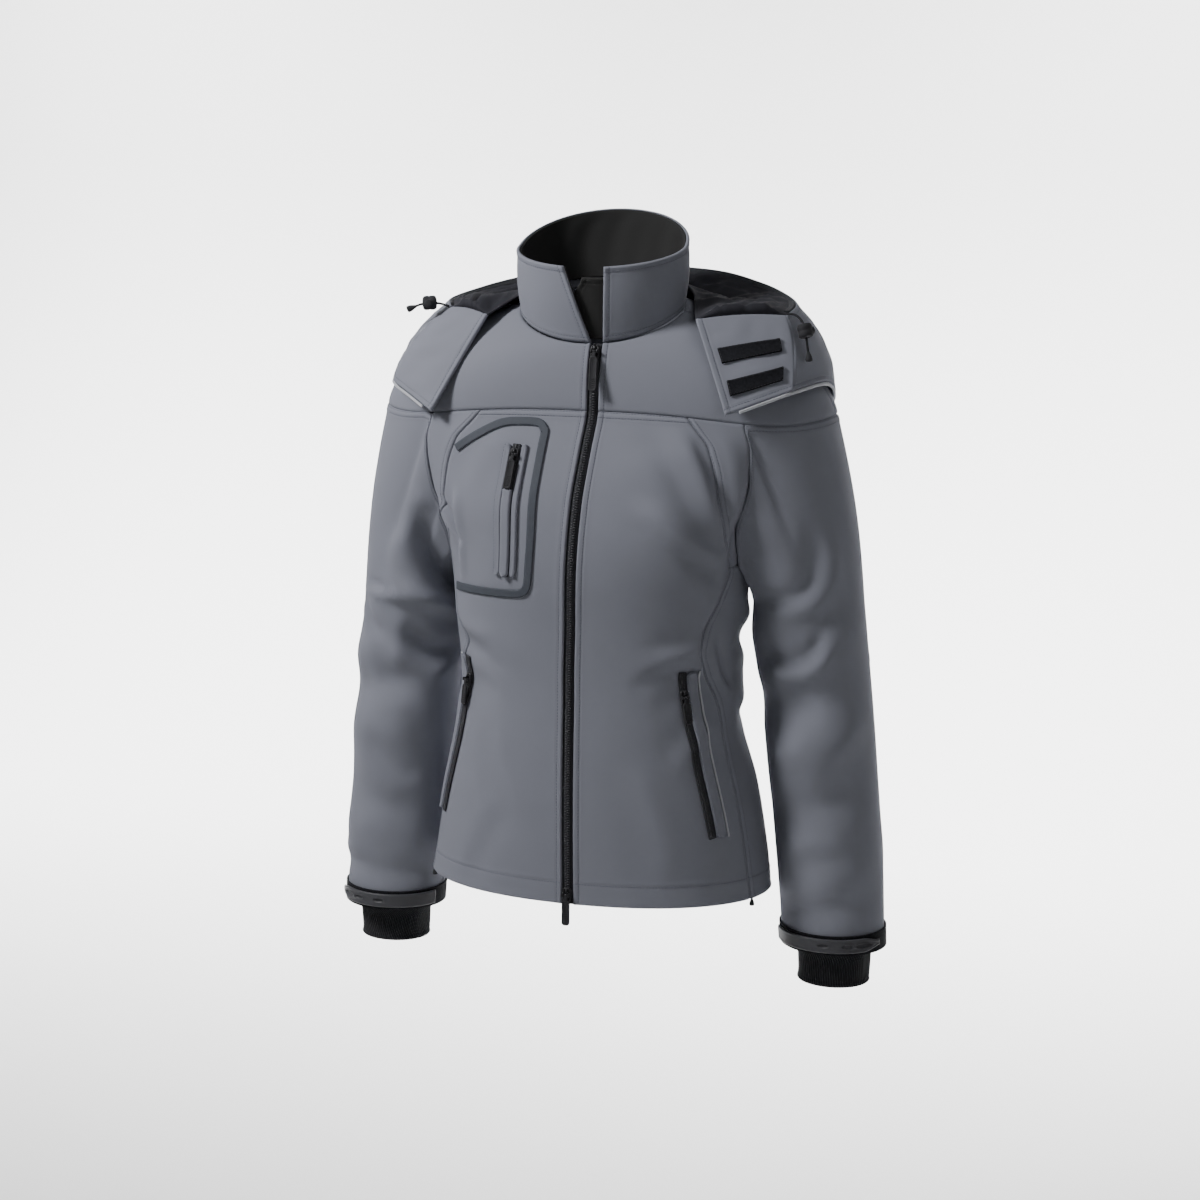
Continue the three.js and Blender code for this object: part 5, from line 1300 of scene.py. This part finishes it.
class MakeSleeves(JacketOperator):
    """Replaces the sleeves and cuffs: sewn sleeve, knitted storm cuff, loop strip and moulded tab"""
    bl_idname = "jacket.make_sleeves"
    bl_label = "Make sleeves"

    cuff_levels = [(640, 3.2), (666, 11), (684, 15), (713, 16.5)]
    strip_top = 650
    strip_height = 21

    def build(self):
        wall = sizes().wall / MM
        rows = []
        for name, area in (("left", 0.1835), ("right", 0.1844)):
            grid = sleeve_grid(name)
            edges = ("sewn", "sewn", "topstitched", "turned")
            piece, outer = cloth_wall(f"sleeve_{name}", grid, edges, wall, material("shell"))
            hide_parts(f"sleeve_{name}")
            rows += edge_rows(outer, [("top", "topstitched")])
            self.make_cuff(name)
            self.make_strip(name)
            self.make_tab(name)
        stitch_mesh("sleeve_stitches", rows, material("thread"))

    def ring(self, name, down, angle, out):
        """A line round the sleeve, ordered so that outward comes first."""
        side = 1 if name == "left" else -1
        lift = 0
        if down < CUFF_DOWN:
            lift = sleeve_lift(name, angle / DEGREE, np.full(angle.shape, float(down)))
        outward = np.stack([side * np.cos(angle), np.sin(angle), np.zeros(angle.shape)], axis=-1)
        line = sleeve_ring(side, np.full(angle.shape, float(down)), angle)
        line = line + outward * np.reshape(out + lift, (-1, 1))
        return line if side > 0 else line[::-1]

    def make_cuff(self, name):
        angle = np.linspace(SLEEVE_SEAM, SLEEVE_SEAM + 360, 120) * DEGREE
        downs = np.linspace(640, 713, 40)
        insides = np.interp(downs, *zip(*self.cuff_levels))
        wrinkle = 0.9 * np.sin(5 * angle + 0.8 * np.sin(2 * angle))
        lines = []
        for down, inside in zip(downs, insides):
            squeezed = wrinkle * float(smooth(660, 690, down) * smooth(715, 700, down))
            lines.append(self.ring(name, down, angle, -inside + squeezed))
        piece, _ = cloth_wall(f"storm_cuff_{name}", np.array(lines), ("plain", "plain", "plain", "turned"), 2,
                              material("knit"), 3)
        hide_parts(f"storm_cuff_{name}")

    def make_strip(self, name):
        angle = np.linspace(SLEEVE_SEAM, SLEEVE_SEAM + 360, 120) * DEGREE
        downs = np.linspace(self.strip_top, self.strip_top + self.strip_height, 8)
        grid = np.array([self.ring(name, down, angle, 2.2) for down in downs])
        piece, _ = cloth_wall(f"cuff_strip_{name}", grid, ("plain",) * 4, 1.4, material("hook"), 3)
        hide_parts(f"cuff_strip_{name}")

    def make_tab(self, name):
        """A moulded tab with a raised rim, a row of recesses and a tapered end."""
        side = 1 if name == "left" else -1
        angles = (360 - np.linspace(22, 158, 90)) * DEGREE
        near_tip = smooth(16, 0, np.arange(90))
        lines = []
        for height in np.linspace(0, 1, 22):
            share = mix(height, 0.5, near_tip * 0.6)
            down = self.strip_top + mix(3, self.strip_height - 3, share)
            line = sleeve_ring(side, down, angles)
            outward = np.stack([side * np.cos(angles), np.sin(angles), np.zeros(90)], axis=-1)
            line = line + outward * 4.4
            lines.append(line[::-1] if side > 0 else line)
        tip_last = side > 0

        def relief(left, right, top, bottom):
            from_tip = right if tip_last else left
            rim = np.minimum(np.minimum(left, right), np.minimum(top, bottom))
            height = 0.5 * smooth(2.6, 1.6, rim) - 0.8 * smooth(0.9, 0, rim)
            for place, long in ((22, 2.2), (41, 1.3), (67, 1.3)):
                oval = np.hypot((from_tip - place) / long, top - bottom) / 4.6
                height = height - 1.6 * smooth(1, 0.8, oval) + 0.5 * bump(1.2, 0.2, oval)
            return height

        piece, _ = cloth_wall(f"cuff_tab_{name}", np.array(lines), ("plain",) * 4, 1.7, material("tab"), 0.8,
                              relief)
        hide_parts(f"cuff_tab_{name}")


class MakeCollar(JacketOperator):
    """Replaces the collar, its fleece and the flap behind the zip"""
    bl_idname = "jacket.make_collar"
    bl_label = "Make collar"

    def build(self):
        grid = collar_grid()
        piece, outer = cloth_wall("collar", grid, ("turned", "turned", "turned", "topstitched"),
                                  sizes().wall / MM, material("shell"), 3.5)
        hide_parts("collar")
        sides = [("left", "turned"), ("right", "turned"), ("top", "turned"), ("bottom", "topstitched")]
        stitch_mesh("collar_stitches", edge_rows(outer, sides), material("thread"))
        self.make_fleece(grid)
        self.make_storm_flap()

    def make_fleece(self, collar):
        inside = collar - normals_of(collar) * 5
        grid = part_of_grid(inside, 0.015, 0.9, 0, 1, 40, 170)[:, ::-1]

        def relief(left, right, top, bottom):
            soft = 0.7 * np.sin(left / 9 + 1.4 * np.sin(left / 23)) + 0.4 * np.sin(left / 4.7 + top / 30)
            return soft * smooth(0, 14, top) * smooth(0, 10, left) * smooth(0, 10, right)

        piece, _ = cloth_wall("collar_fleece", grid, ("plain", "plain", "plain", "plain"), 2, material("fleece"), 3,
                              relief, shift=-0.5)
        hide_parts("collar_fleece")

    def make_storm_flap(self):
        lines = []
        for rise in np.linspace(66, 4, 30):
            corner = smooth(48, 66, rise)
            half = 23 - 9 * corner
            x = ZIP_TOP_X + np.linspace(-half, half, 24)
            front = mix(NECK.front, RIM.front, rise / (RIM.front_z - NECK.front_z))
            y = NECK.side + (front - NECK.side) * np.sqrt(1 - (x / NECK.half) ** 2) + 5.3
            lines.append(np.stack([x, y, np.full(x.shape, NECK.front_z + rise)], axis=-1))
        piece, _ = cloth_wall("storm_flap", np.array(lines), ("turned", "turned", "turned", "plain"), 1.6,
                              material("fleece"), 3)
        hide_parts("storm_flap")


# Hood

def wandering(u, v, seed):
    """Soft irregular wrinkles, from about -1 to 1, at places in mm."""
    bend = 1.7 * np.sin(u / 41 + seed) + 1.3 * np.sin(v / 33 + 2 * seed)
    first = np.sin(u / 11 + bend + 0.6 * np.sin(v / 13 + seed))
    second = np.sin(v / 8.5 + 1.6 * np.sin(u / 27 + 3 * seed) + bend)
    third = np.sin((u + v) / 6.2 + 2.1 * np.sin(u / 19 - v / 23 + seed))
    return 0.5 * first + 0.35 * second + 0.25 * third


class MakeHood(JacketOperator):
    """Replaces the hood: outer shell, quilted lining, front corners, hook patches and piping"""
    bl_idname = "jacket.make_hood"
    bl_label = "Make hood"

    def build(self):
        wall = sizes().wall / MM
        rows = self.make_shell(wall)
        self.make_lining(wall)
        for name, flap in HOOD_FLAPS.items():
            rows += self.make_flap(name, flap, wall)
            self.make_piping(name, flap)
        self.make_patches()
        stitch_mesh("hood_stitches", rows, material("thread"))

    def make_shell(self, wall):
        share = np.linspace(0, 1, 110)[:, None]
        place = np.linspace(0, 1, 320)[None, :]
        grid = hood_outer(place * np.ones_like(share), share * np.ones_like(place))

        def relief(left, right, top, bottom):
            whole = left + right
            height = 0.9 * wandering(left, top, 2.3) * smooth(0, 18, top) * smooth(0, 12, bottom)
            for seam in (0.37, 0.63):
                away = np.abs(left - seam * whole)
                height = height - 1.2 * bump(0, 1.4, away) + 0.35 * smooth(9, 7.5, away)
            return height

        piece, outer = cloth_wall("hood_shell", grid, ("sewn", "sewn", "turned", "turned"), wall,
                                  material("shell"), 4.5, relief)
        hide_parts("hood_shell")
        return edge_rows(outer, [("top", "turned"), ("bottom", "turned")])

    def make_lining(self, wall):
        share = np.linspace(0, 1, 90)[:, None]
        place = np.linspace(0, 1, 300)[None, :]
        ones = np.ones_like(share * place)
        grid = hood_inner(place * ones, share * ones)

        def relief(left, right, top, bottom):
            quilting = 0
            for line in (18, 42, 66):
                quilting = quilting - 2.2 * bump(line, 2.6, bottom)
            puffs = 1.8 * wandering(1.1 * left, 0.9 * top, 0.7) + 0.8 * wandering(2.1 * left, 1.8 * top, 3.1)
            cross = 1.2 * np.sin(left / 5.3 + 1.2 * np.sin(bottom / 9)) * bump(0, 9, np.abs(bottom % 24 - 18))
            filled = 9 * smooth(0, 26, bottom) * smooth(0, 26, top)
            return filled + (quilting + puffs + cross) * smooth(0, 8, bottom) * smooth(0, 6, top)

        piece, outer = cloth_wall("hood_lining", grid, ("plain", "plain", "plain", "plain"), 1.6,
                                  material("lining"), 3.5, relief, shift=-0.4)
        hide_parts("hood_lining")
        band = part_of_grid(shifted_grid(grid, 0.6), 0.93, 1.0, 0.02, 0.98, 12, 260)
        edging, _ = cloth_wall("hood_band", band, ("soft", "soft", "soft", "soft"), 1.2, material("webbing"), 3.5)

    def make_flap(self, name, flap, wall):
        u = np.linspace(0, 1, 90)[None, :]
        v = np.linspace(0, 1, 110)[:, None]
        grid = flap_point(flap, u, v)
        edges = ("turned", "sewn", "sewn", "turned")
        if name == "right":
            grid = grid[:, ::-1]
            edges = ("sewn", "turned", "sewn", "turned")

        def relief(left, right, top, bottom):
            inside = smooth(0, 14, np.minimum(np.minimum(left, right), np.minimum(top, bottom)))
            return inside * 0.9 * wandering(left, 1.2 * top, 4.1 if name == "left" else 5.6)

        piece, outer = cloth_wall(f"hood_flap_{name}", grid, edges, wall, material("shell"), 3.5, relief)
        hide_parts(f"hood_flap_{name}")
        free = "left" if name == "left" else "right"
        return edge_rows(outer, [(free, "turned"), ("bottom", "turned")])

    def make_patches(self):
        flap = HOOD_FLAPS["left"]
        for name, top, bottom in (("upper", 0.34, 0.5), ("lower", 0.68, 0.84)):
            u = np.linspace(0.12, 0.82, 60)[None, :]
            v = np.linspace(top, bottom, 20)[:, None]
            grid = shifted_grid(flap_point(flap, u, v), 1.9)
            piece, outer = cloth_wall(f"hook_patch_{name}", grid, ("soft",) * 4, 1.2, material("hook"), 2.5)
            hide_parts(f"hook_patch_{name}")
            sides = ("left", "right", "top", "bottom")
            rows = [row_along(outer, side, 1.6) for side in sides]
            stitch_mesh(f"hook_patch_{name}_stitches", rows, material("dark_thread"), raised=0)

    def make_piping(self, name, flap):
        u = np.linspace(0.2, 0.97, 24)
        above, edge = flap_point(flap, u, 0.95 + 0 * u), flap_point(flap, u, 1 + 0 * u)
        place = np.linspace(0.012, 5 / 24, 60)
        place = place if name == "left" else 1 - place
        shell_above, shell_edge = hood_outer(place, 0.95 + 0 * place), hood_outer(place, 1 + 0 * place)
        below = unit(np.concatenate([edge - above, shell_edge - shell_above]))
        line = np.concatenate([edge, shell_edge]) + below * 2.1
        line = through(line[::4], 160)
        points, faces = tube(line, 1.7, from_neck(line), 14, 0.75)
        piece = add_mesh(f"hood_piping_{name}", points, faces, material("piping"))
        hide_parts(f"hood_piping_{name}")


class MakeCords(JacketOperator):
    """Replaces the hood's drawcords, their locks and end bells, and the bells of the hem cord"""
    bl_idname = "jacket.make_cords"
    bl_label = "Make cords"

    lock_at = {"left": 0.6, "right": 0.58}

    def build(self):
        radius = sizes().cord / MM / 2
        for name, path in HOOD_CORDS.items():
            line = through(path, 90)
            run = lengths(line)
            points, faces = tube(line, radius, from_neck(line), 14)
            around = np.tile(np.linspace(0, 2 * math.pi * radius, 14, endpoint=False), len(line))
            cloth = np.stack([around, np.repeat(run, 14), np.zeros(around.shape)], axis=-1) * MM
            cloth = np.concatenate([cloth, np.zeros((2, 3))])
            cord = add_mesh(f"hood_cord_{name}", points, faces, material("cord"), attributes=[("cloth", cloth)])
            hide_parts(f"hood_cord_{name}")
            middle = at_distances(line, [self.lock_at[name] * run[-1]])[0]
            ahead = unit(at_distances(line, [self.lock_at[name] * run[-1] + 1])[0] - middle)
            lock = self.make_lock(name, middle, ahead)
            end = line[-1]
            bell = self.make_bell(f"hood_cord_bell_{name}", end, unit(line[-1] - line[-4]), 1)
        for name, degrees in (("left", 74), ("right", -74)):
            turn = degrees * DEGREE
            edge = body_point(turn, hem_at(turn)) - body_out(turn, hem_at(turn)) * 1.1
            self.make_bell(f"hem_cord_bell_{name}", edge - np.array([0, 0, 0.3]), np.array([0, 0, -1.0]), 0.75)

    def make_lock(self, name, middle, ahead):
        """A round cord lock with a pressed button, a rounded edge and a groove round it."""
        profile = [(2.0, -7), (4.9, -7), (6.2, -6.6), (7.1, -5.6), (7.5, -4), (7.5, -1.2), (7.1, -0.6),
                   (7.1, 0.6), (7.5, 1.2), (7.5, 4), (7.1, 5.6), (6.2, 6.6), (4.9, 7), (2.0, 7), (2.0, -7)]
        points, faces = turned(profile, middle, ahead, 40)
        side = unit(np.cross(ahead, [0, 0, 1.0]))
        button = turned([(0, 9.6), (3.2, 9.6), (3.9, 9.2), (4.1, 8.4), (4.1, 5.5), (0, 5.5)], middle, -side, 28)
        points, faces = joined([(points, faces), button])
        piece = add_mesh(f"hood_cord_lock_{name}", points, faces, material("rubber"))
        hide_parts(f"hood_cord_lock_{name}")
        return piece

    def make_bell(self, name, start, ahead, scale):
        profile = [(0, 0), (1.3, 0), (1.65, 0.4), (1.8, 1.2), (2.3, 2.8), (2.95, 4.6), (3.4, 6.6), (3.6, 8),
                   (3.45, 9.3), (2.9, 9.9), (1.9, 10), (1.6, 9.2), (0, 9.2)]
        profile = [(radius * scale, height * scale) for radius, height in profile]
        points, faces = turned(profile, start, ahead, 30)
        piece = add_mesh(name, points, faces, material("rubber"))
        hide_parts(name)
        return piece


# Zips and pockets

def body_out(turn, down):
    around = body_point(turn + 0.03, down) - body_point(turn - 0.03, down)
    return unit(np.cross(body_point(turn, down + 4) - body_point(turn, down - 4), around))


def from_x(path):
    """A path of [x, down] as one of [turn, down] in degrees."""
    return [(float(turn_at_x(down, x)) / DEGREE, down) for x, down in path]


def moved_round(path, distance):
    """A path moved round the body by a distance in mm, + to the wearer's left."""
    moved = []
    for turn, down in path:
        ends = body_point(np.array([turn - 0.5, turn + 0.5]) * DEGREE, down)
        moved.append((turn + distance / np.linalg.norm(ends[1] - ends[0]), down))
    return moved


def strip_line(path, count):
    """Points, directions across and outward directions along a path on the body."""
    flat = through([(turn, down, 0) for turn, down in path], count)
    turn, down = flat[:, 0] * DEGREE, flat[:, 1]
    line = body_point(turn, down)
    out = body_out(turn, down)
    run = unit(np.gradient(line, axis=0))
    across = unit(np.cross(out, run))
    return line, across, out


def strip_grid(path, half, out_by, count=160, columns=14, round_ends=0):
    """A strip of cloth along a path on the body, with rounded ends if asked for."""
    line, across, out = strip_line(path, count)
    run = lengths(line)
    near_end = np.minimum(run, run[-1] - run)
    half = np.full(count, float(half))
    if round_ends:
        share = np.clip(near_end / round_ends, 0.02, 1)
        half = half * np.sqrt(1 - (1 - share) ** 2)
    places = np.linspace(-1, 1, columns)[None, :, None] * half[:, None, None]
    return line[:, None] + across[:, None] * places + (out * out_by)[:, None]


def coil_teeth(line, across, out, half, lift):
    """A coil zip: a row of small rounded loops across the closed tape."""
    run = lengths(line)
    parts = []
    for place in np.arange(0.8, run[-1] - 0.8, 1.4):
        middle = at_distances(line, [place])[0]
        k = int(np.searchsorted(run, place)) - 1
        ends = [middle + across[k] * half * x + out[k] * (lift - 0.6 * x * x) for x in (-1, -0.5, 0, 0.5, 1)]
        parts.append(tube(np.array(ends), 0.42, out[k], 6))
    return joined(parts)


def zip_edges():
    """The centre line of the main zip from the neck seam to the hem, its direction across and outward."""
    sides = []
    levels = np.linspace(YOKE_DOWN, HEM_DOWN, 420)
    shares = np.linspace(0, 1, 90)[:-1, None]
    for side in (1, -1):
        first = float(seam_turn("zip", side, YOKE_DOWN))
        neck = neck_point(neck_turn_for(side, np.array([first])))
        seam = body_point(np.array([first]), yoke_seam_at(first))
        turns = seam_turn("zip", side, levels)
        sides.append(np.concatenate([yoke_line(neck, seam, shares), body_point(turns, level_at(levels, turns))]))
    line = (sides[0] + sides[1]) / 2
    across = unit(sides[0] - sides[1])
    ahead = unit(np.gradient(line, axis=0))
    out = unit(np.cross(ahead, across))
    return line, across, out


def rounded_slab(wide, tall, thick, corner, edge=0.5, cut=()):
    """A rounded plate in its own x, y and z, with bevelled edges; z runs from 0 to the thickness."""
    outline = []
    for cx, cy, first in ((1, 1, 0), (-1, 1, 90), (-1, -1, 180), (1, -1, 270)):
        for step in range(6):
            turn = (first + step * 18) * DEGREE
            outline.append((cx * (wide / 2 - corner) + corner * math.cos(turn),
                            cy * (tall / 2 - corner) + corner * math.sin(turn)))
    outline = np.array(outline)
    points, faces = [], []
    count = len(outline)
    small = 1 - 2 * edge / np.array([wide, tall])
    layers = [(small, 0), (np.ones(2), edge), (np.ones(2), thick - edge), (small, thick)]
    for depth in cut:
        inset, sink = depth
        layers.append((1 - 2 * inset / np.array([wide, tall]), thick - sink))
    for scale, z in layers:
        for x, y in outline * scale:
            points.append((x, y, z))
    for layer in range(len(layers) - 1):
        for k in range(count):
            after = (k + 1) % count
            low = layer * count
            faces.append((low + k, low + after, low + count + after, low + count + k))
    faces.append(tuple(range(count))[::-1])
    faces.append(tuple(range((len(layers) - 1) * count, len(layers) * count)))
    return np.array(points, float), faces


def moved(part, offset=(0, 0, 0), turn_x=0):
    """A part's points turned about x and then moved."""
    points, faces = part
    c, s = math.cos(turn_x), math.sin(turn_x)
    matrix = np.array([[1, 0, 0], [0, c, -s], [0, s, c]])
    return np.asarray(points) @ matrix.T + np.array(offset, float), faces


class MakeZips(JacketOperator):
    """Replaces the main zip and the pockets: tapes, teeth, welts, sliders and pulls"""
    bl_idname = "jacket.make_zips"
    bl_label = "Make zips and pockets"

    # Where each slider sits: distance down or share of its pocket's path, height on the cloth, and pull length
    pocket_sliders = {"chest": (0.09, 2.8, 36), "hand_left": (0.15, 2.8, 28), "hand_right": (0.15, 2.8, 28)}
    main_sliders = {"top": (47, 1, 42), "bottom": (599, 1, 32)}
    axis_out = 4.9

    def build(self):
        self.make_main_zip()
        self.make_chest_pocket()
        for name, side in (("left", 1), ("right", -1)):
            self.make_hand_pocket(name, side)

    def make_main_zip(self):
        line, across, out = zip_edges()
        columns = np.linspace(-7.6, 7.6, 20)[None, :, None]
        tucked = 1.3 + 1.5 * smooth(4.6, 6.4, np.abs(columns))
        tape = line[:, None] - out[:, None] * tucked + across[:, None] * columns
        piece, _ = cloth_wall("zip_tape", tape, ("plain",) * 4, 1.1, material("webbing"), 3)
        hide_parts("zip_tape")
        run = lengths(line)
        pitch = sizes().tooth / MM
        parts = []
        for count, place in enumerate(np.arange(2, run[-1] - 3, pitch / 2)):
            side = 1 if count % 2 else -1
            k = int(np.searchsorted(run, place))
            ahead = np.cross(across[k], out[k])
            middle = at_distances(line, [place])[0] + across[k] * side * 0.9 + out[k] * 0.1
            frame_of = np.stack([across[k] * side, ahead, out[k]])
            parts.append(self.tooth(middle, frame_of))
        points, faces = joined(parts)
        chain = add_mesh("zip_chain", points, faces, material("teeth"))
        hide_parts("zip_chain")
        for name, (down, lift, long) in self.main_sliders.items():
            k = int(np.argmin(np.abs(line[:, 2] + down)))
            ahead = np.cross(across[k], out[k])
            self.make_slider(name, line[k], across[k], unit(ahead), lift, long, "top" in name)

    def tooth(self, middle, frame_of):
        """A moulded tooth: a head at the middle of the chain and a neck on the tape."""
        outline = [(-1.25, -0.36), (0.3, -0.5), (1.7, -0.82), (1.7, 0.82), (0.3, 0.5), (-1.25, 0.36)]
        points, faces = [], []
        for scale, z in ((1, 0), (1, 0.95), (0.72, 1.3)):
            for x, y in outline:
                points.append(middle + np.array([x * scale, y * scale, z]) @ frame_of)
        for layer in (0, 6):
            for k in range(6):
                after = (k + 1) % 6
                faces.append((layer + k, layer + after, layer + 6 + after, layer + 6 + k))
        faces.append((12, 13, 14, 15, 16, 17))
        faces.append((5, 4, 3, 2, 1, 0))
        return points, faces

    def make_slider(self, name, middle, across, ahead, lift, long, closes_up):
        """A slider with a wedge body, a bridge and lugs, and a moulded pull that hangs on it."""
        out = unit(np.cross(ahead, -across))
        out = out if np.dot(out, middle * [1, 1, 0]) > 0 else -out
        frame_of = np.stack([across, unit(np.cross(out, across)), out])

        def placed(part):
            points, faces = part
            return np.asarray(points) @ frame_of + middle + out * lift, faces

        plate = rounded_slab(8.8, 14.5, 2.4, 2.6, 0.6, ((1.3, 0.0), (1.6, 0.4)))
        lugs = [moved(rounded_slab(1.2, 3.6, 4.6, 0.5, 0.35), (x, 0, 2.2)) for x in (-3.05, 3.05)]
        bridge_line = [(0, 6.2, 2.1), (0, 5.4, 3.4), (0, 3.2, 3.9), (0, 2.6, 3.2), (0, 2.5, 2.1)]
        bridge = tube(through(bridge_line, 20), 0.8, (1, 0, 0), 10, 1.3)
        axle = tube(np.array([(-3.4, 0, self.axis_out), (3.4, 0, self.axis_out)]), 0.6, (0, 0, 1), 12)
        points, faces = joined([placed(part) for part in (plate, *lugs, bridge, axle)])
        slider = add_mesh(f"zip_slider_{name}", points, faces, material("slider"))
        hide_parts(f"zip_slider_{name}")
        ring = [(1.9 * math.cos(turn), 0, 1.9 * math.sin(turn)) for turn in np.linspace(0, 2 * math.pi, 6)]
        barrel = tube(np.array([(-1.9, 0, 0), (-1.5, 0, 0), (1.5, 0, 0), (1.9, 0, 0)]),
                      [1.0, 1.25, 1.25, 1.0], (0, 0, 1), 18)
        neck = moved(rounded_slab(3.8, 8, 1.6, 0.8, 0.4), (0, -3.8, -0.8))
        tab_long = long - 5.5
        tab = moved(rounded_slab(8.5, tab_long, 2.2, 3, 0.6, ((1.2, 0.0), (1.6, 0.45))),
                    (0, -(long - tab_long / 2), -1.1))
        grip = [moved(rounded_slab(4.6, 0.9, 0.5, 0.4, 0.15), (0, -(long - 4 - 2.2 * k), 0.6)) for k in range(5)]
        hang = self.axis_out

        def hung(part):
            points, faces = part
            return placed((np.asarray(points) + [0, 0, hang], faces))

        points, faces = joined([hung(part) for part in (barrel, neck, tab, *grip)])
        pull = add_mesh(f"zip_pull_{name}", points, faces, material("rubber"), f"pull_{name}")
        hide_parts(f"zip_pull_{name}")

    def make_pocket_zip(self, name, path, slot_name="zip"):
        grid = strip_grid(path, 4.1, 1.9)
        piece, _ = cloth_wall(name, grid, ("plain",) * 4, 1.1, material("webbing"), 3)
        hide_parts(name)
        line, across, out = strip_line(path, 200)
        points, faces = coil_teeth(line, across, out, 1.9, 2.3)
        coil = add_mesh(f"{name}_coil", points, faces, material("teeth"))
        short = name.replace("_zip", "")
        share, lift, long = self.pocket_sliders[short]
        k = int(share * 199)
        self.make_slider(short, line[k], across[k], unit(np.cross(across[k], out[k])), lift, long, True)

    def make_welt(self, name, path, shift, half, out_by, thick, round_ends):
        grid = strip_grid(moved_round(path, shift), half, out_by, 160, 14, round_ends)

        def relief(left, right, top, bottom):
            swell = 0.7 * (1 - (2 * left / np.maximum(left + right, 0.1) - 1) ** 2)
            return swell * smooth(0, 3, top) * smooth(0, 3, bottom)

        piece, outer = cloth_wall(name, grid, ("soft",) * 4, thick, material("shell"), 3, relief)
        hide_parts(name)
        return outer

    def make_chest_pocket(self):
        grid = strip_grid(from_x(CHEST_TAPE), 4.2, 1.7, 300, 12)
        piece, _ = cloth_wall("chest_tape", grid, ("plain", "plain", "plain", "plain"), 0.7, material("tape"), 3)
        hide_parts("chest_tape")
        path = from_x(CHEST_ZIP)
        self.make_pocket_zip("chest_zip", path)
        self.make_zip_cover(path)
        outer = self.make_welt("chest_welt_outer", path, -9.6, 4.2, 2.6, 1.8, 4)
        inner = self.make_welt("chest_welt_inner", path, 9, 3.4, 2.2, 1.4, 3)
        rows = [row_along(outer, "left", 1.8), row_along(inner, "right", 1.4)]
        stitch_mesh("chest_welt_stitches", rows, material("thread"))

    def make_zip_cover(self, path):
        """The shell cloth that folds over the closed part of the chest zip, with a rounded lower end."""
        whole = strip_grid(path, 5.2, 4.2, 200, 16, 4)
        grid = whole[66:]

        def relief(left, right, top, bottom):
            return 1.1 * (1 - (2 * left / np.maximum(left + right, 0.1) - 1) ** 2)

        piece, _ = cloth_wall("chest_zip_cover", grid, ("soft",) * 4, 1.2, material("shell"), 2.5, relief)

    def make_hand_pocket(self, name, side):
        path = HAND_ZIP[name]
        self.make_pocket_zip(f"hand_zip_{name}", path)
        outer = self.make_welt(f"hand_welt_{name}", path, 11 * side, 6.2, 3, 2.1, 4)
        inside, outside = ("left", "right") if side > 0 else ("right", "left")
        rows = [row_along(outer, inside, 1.6), row_along(outer, outside, 1.6)]
        stitch_mesh(f"hand_welt_{name}_stitches", rows, material("thread"))
        line, _, out = strip_line(moved_round(path, 19.4 * side), 160)
        points, faces = tube(line + (out * 1.9), 1.1, out, 12, 0.9)
        piece = add_mesh(f"hand_piping_{name}", points, faces, material("piping"))
        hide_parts(f"hand_piping_{name}")


STEPS = [MakeStage, MakeBody, MakeSleeves, MakeCollar, MakeHood, MakeCords, MakeZips]


class JacketPanel(bpy.types.Panel):
    """Lists the jacket's settings and build steps"""
    bl_idname = "VIEW3D_PT_jacket"
    bl_label = "Hooded softshell jacket"
    bl_space_type = "VIEW_3D"
    bl_region_type = "UI"
    bl_category = "Jacket"

    def draw(self, context):
        layout = self.layout
        for key in SETTINGS:
            box = layout.box()
            settings = getattr(context.scene, key)
            for field in settings.__annotations__:
                box.prop(settings, field)
        for step in STEPS:
            layout.operator(step.bl_idname)


SETTINGS = {"jacket_sizes": JacketSizes, "jacket_colours": JacketColours, "jacket_stage": JacketStage}


def register():
    for group in (*SETTINGS.values(), *STEPS, JacketPanel):
        bpy.utils.register_class(group)
    for key, group in SETTINGS.items():
        setattr(bpy.types.Scene, key, PointerProperty(type=group))


def unregister():
    for key in SETTINGS:
        delattr(bpy.types.Scene, key)
    for group in (JacketPanel, *reversed(STEPS), *SETTINGS.values()):
        bpy.utils.unregister_class(group)


def main():
    register()
    make_materials()
    for step in STEPS:
        family, action = step.bl_idname.split(".")
        getattr(getattr(bpy.ops, family), action)()


if __name__ == "__main__":
    main()
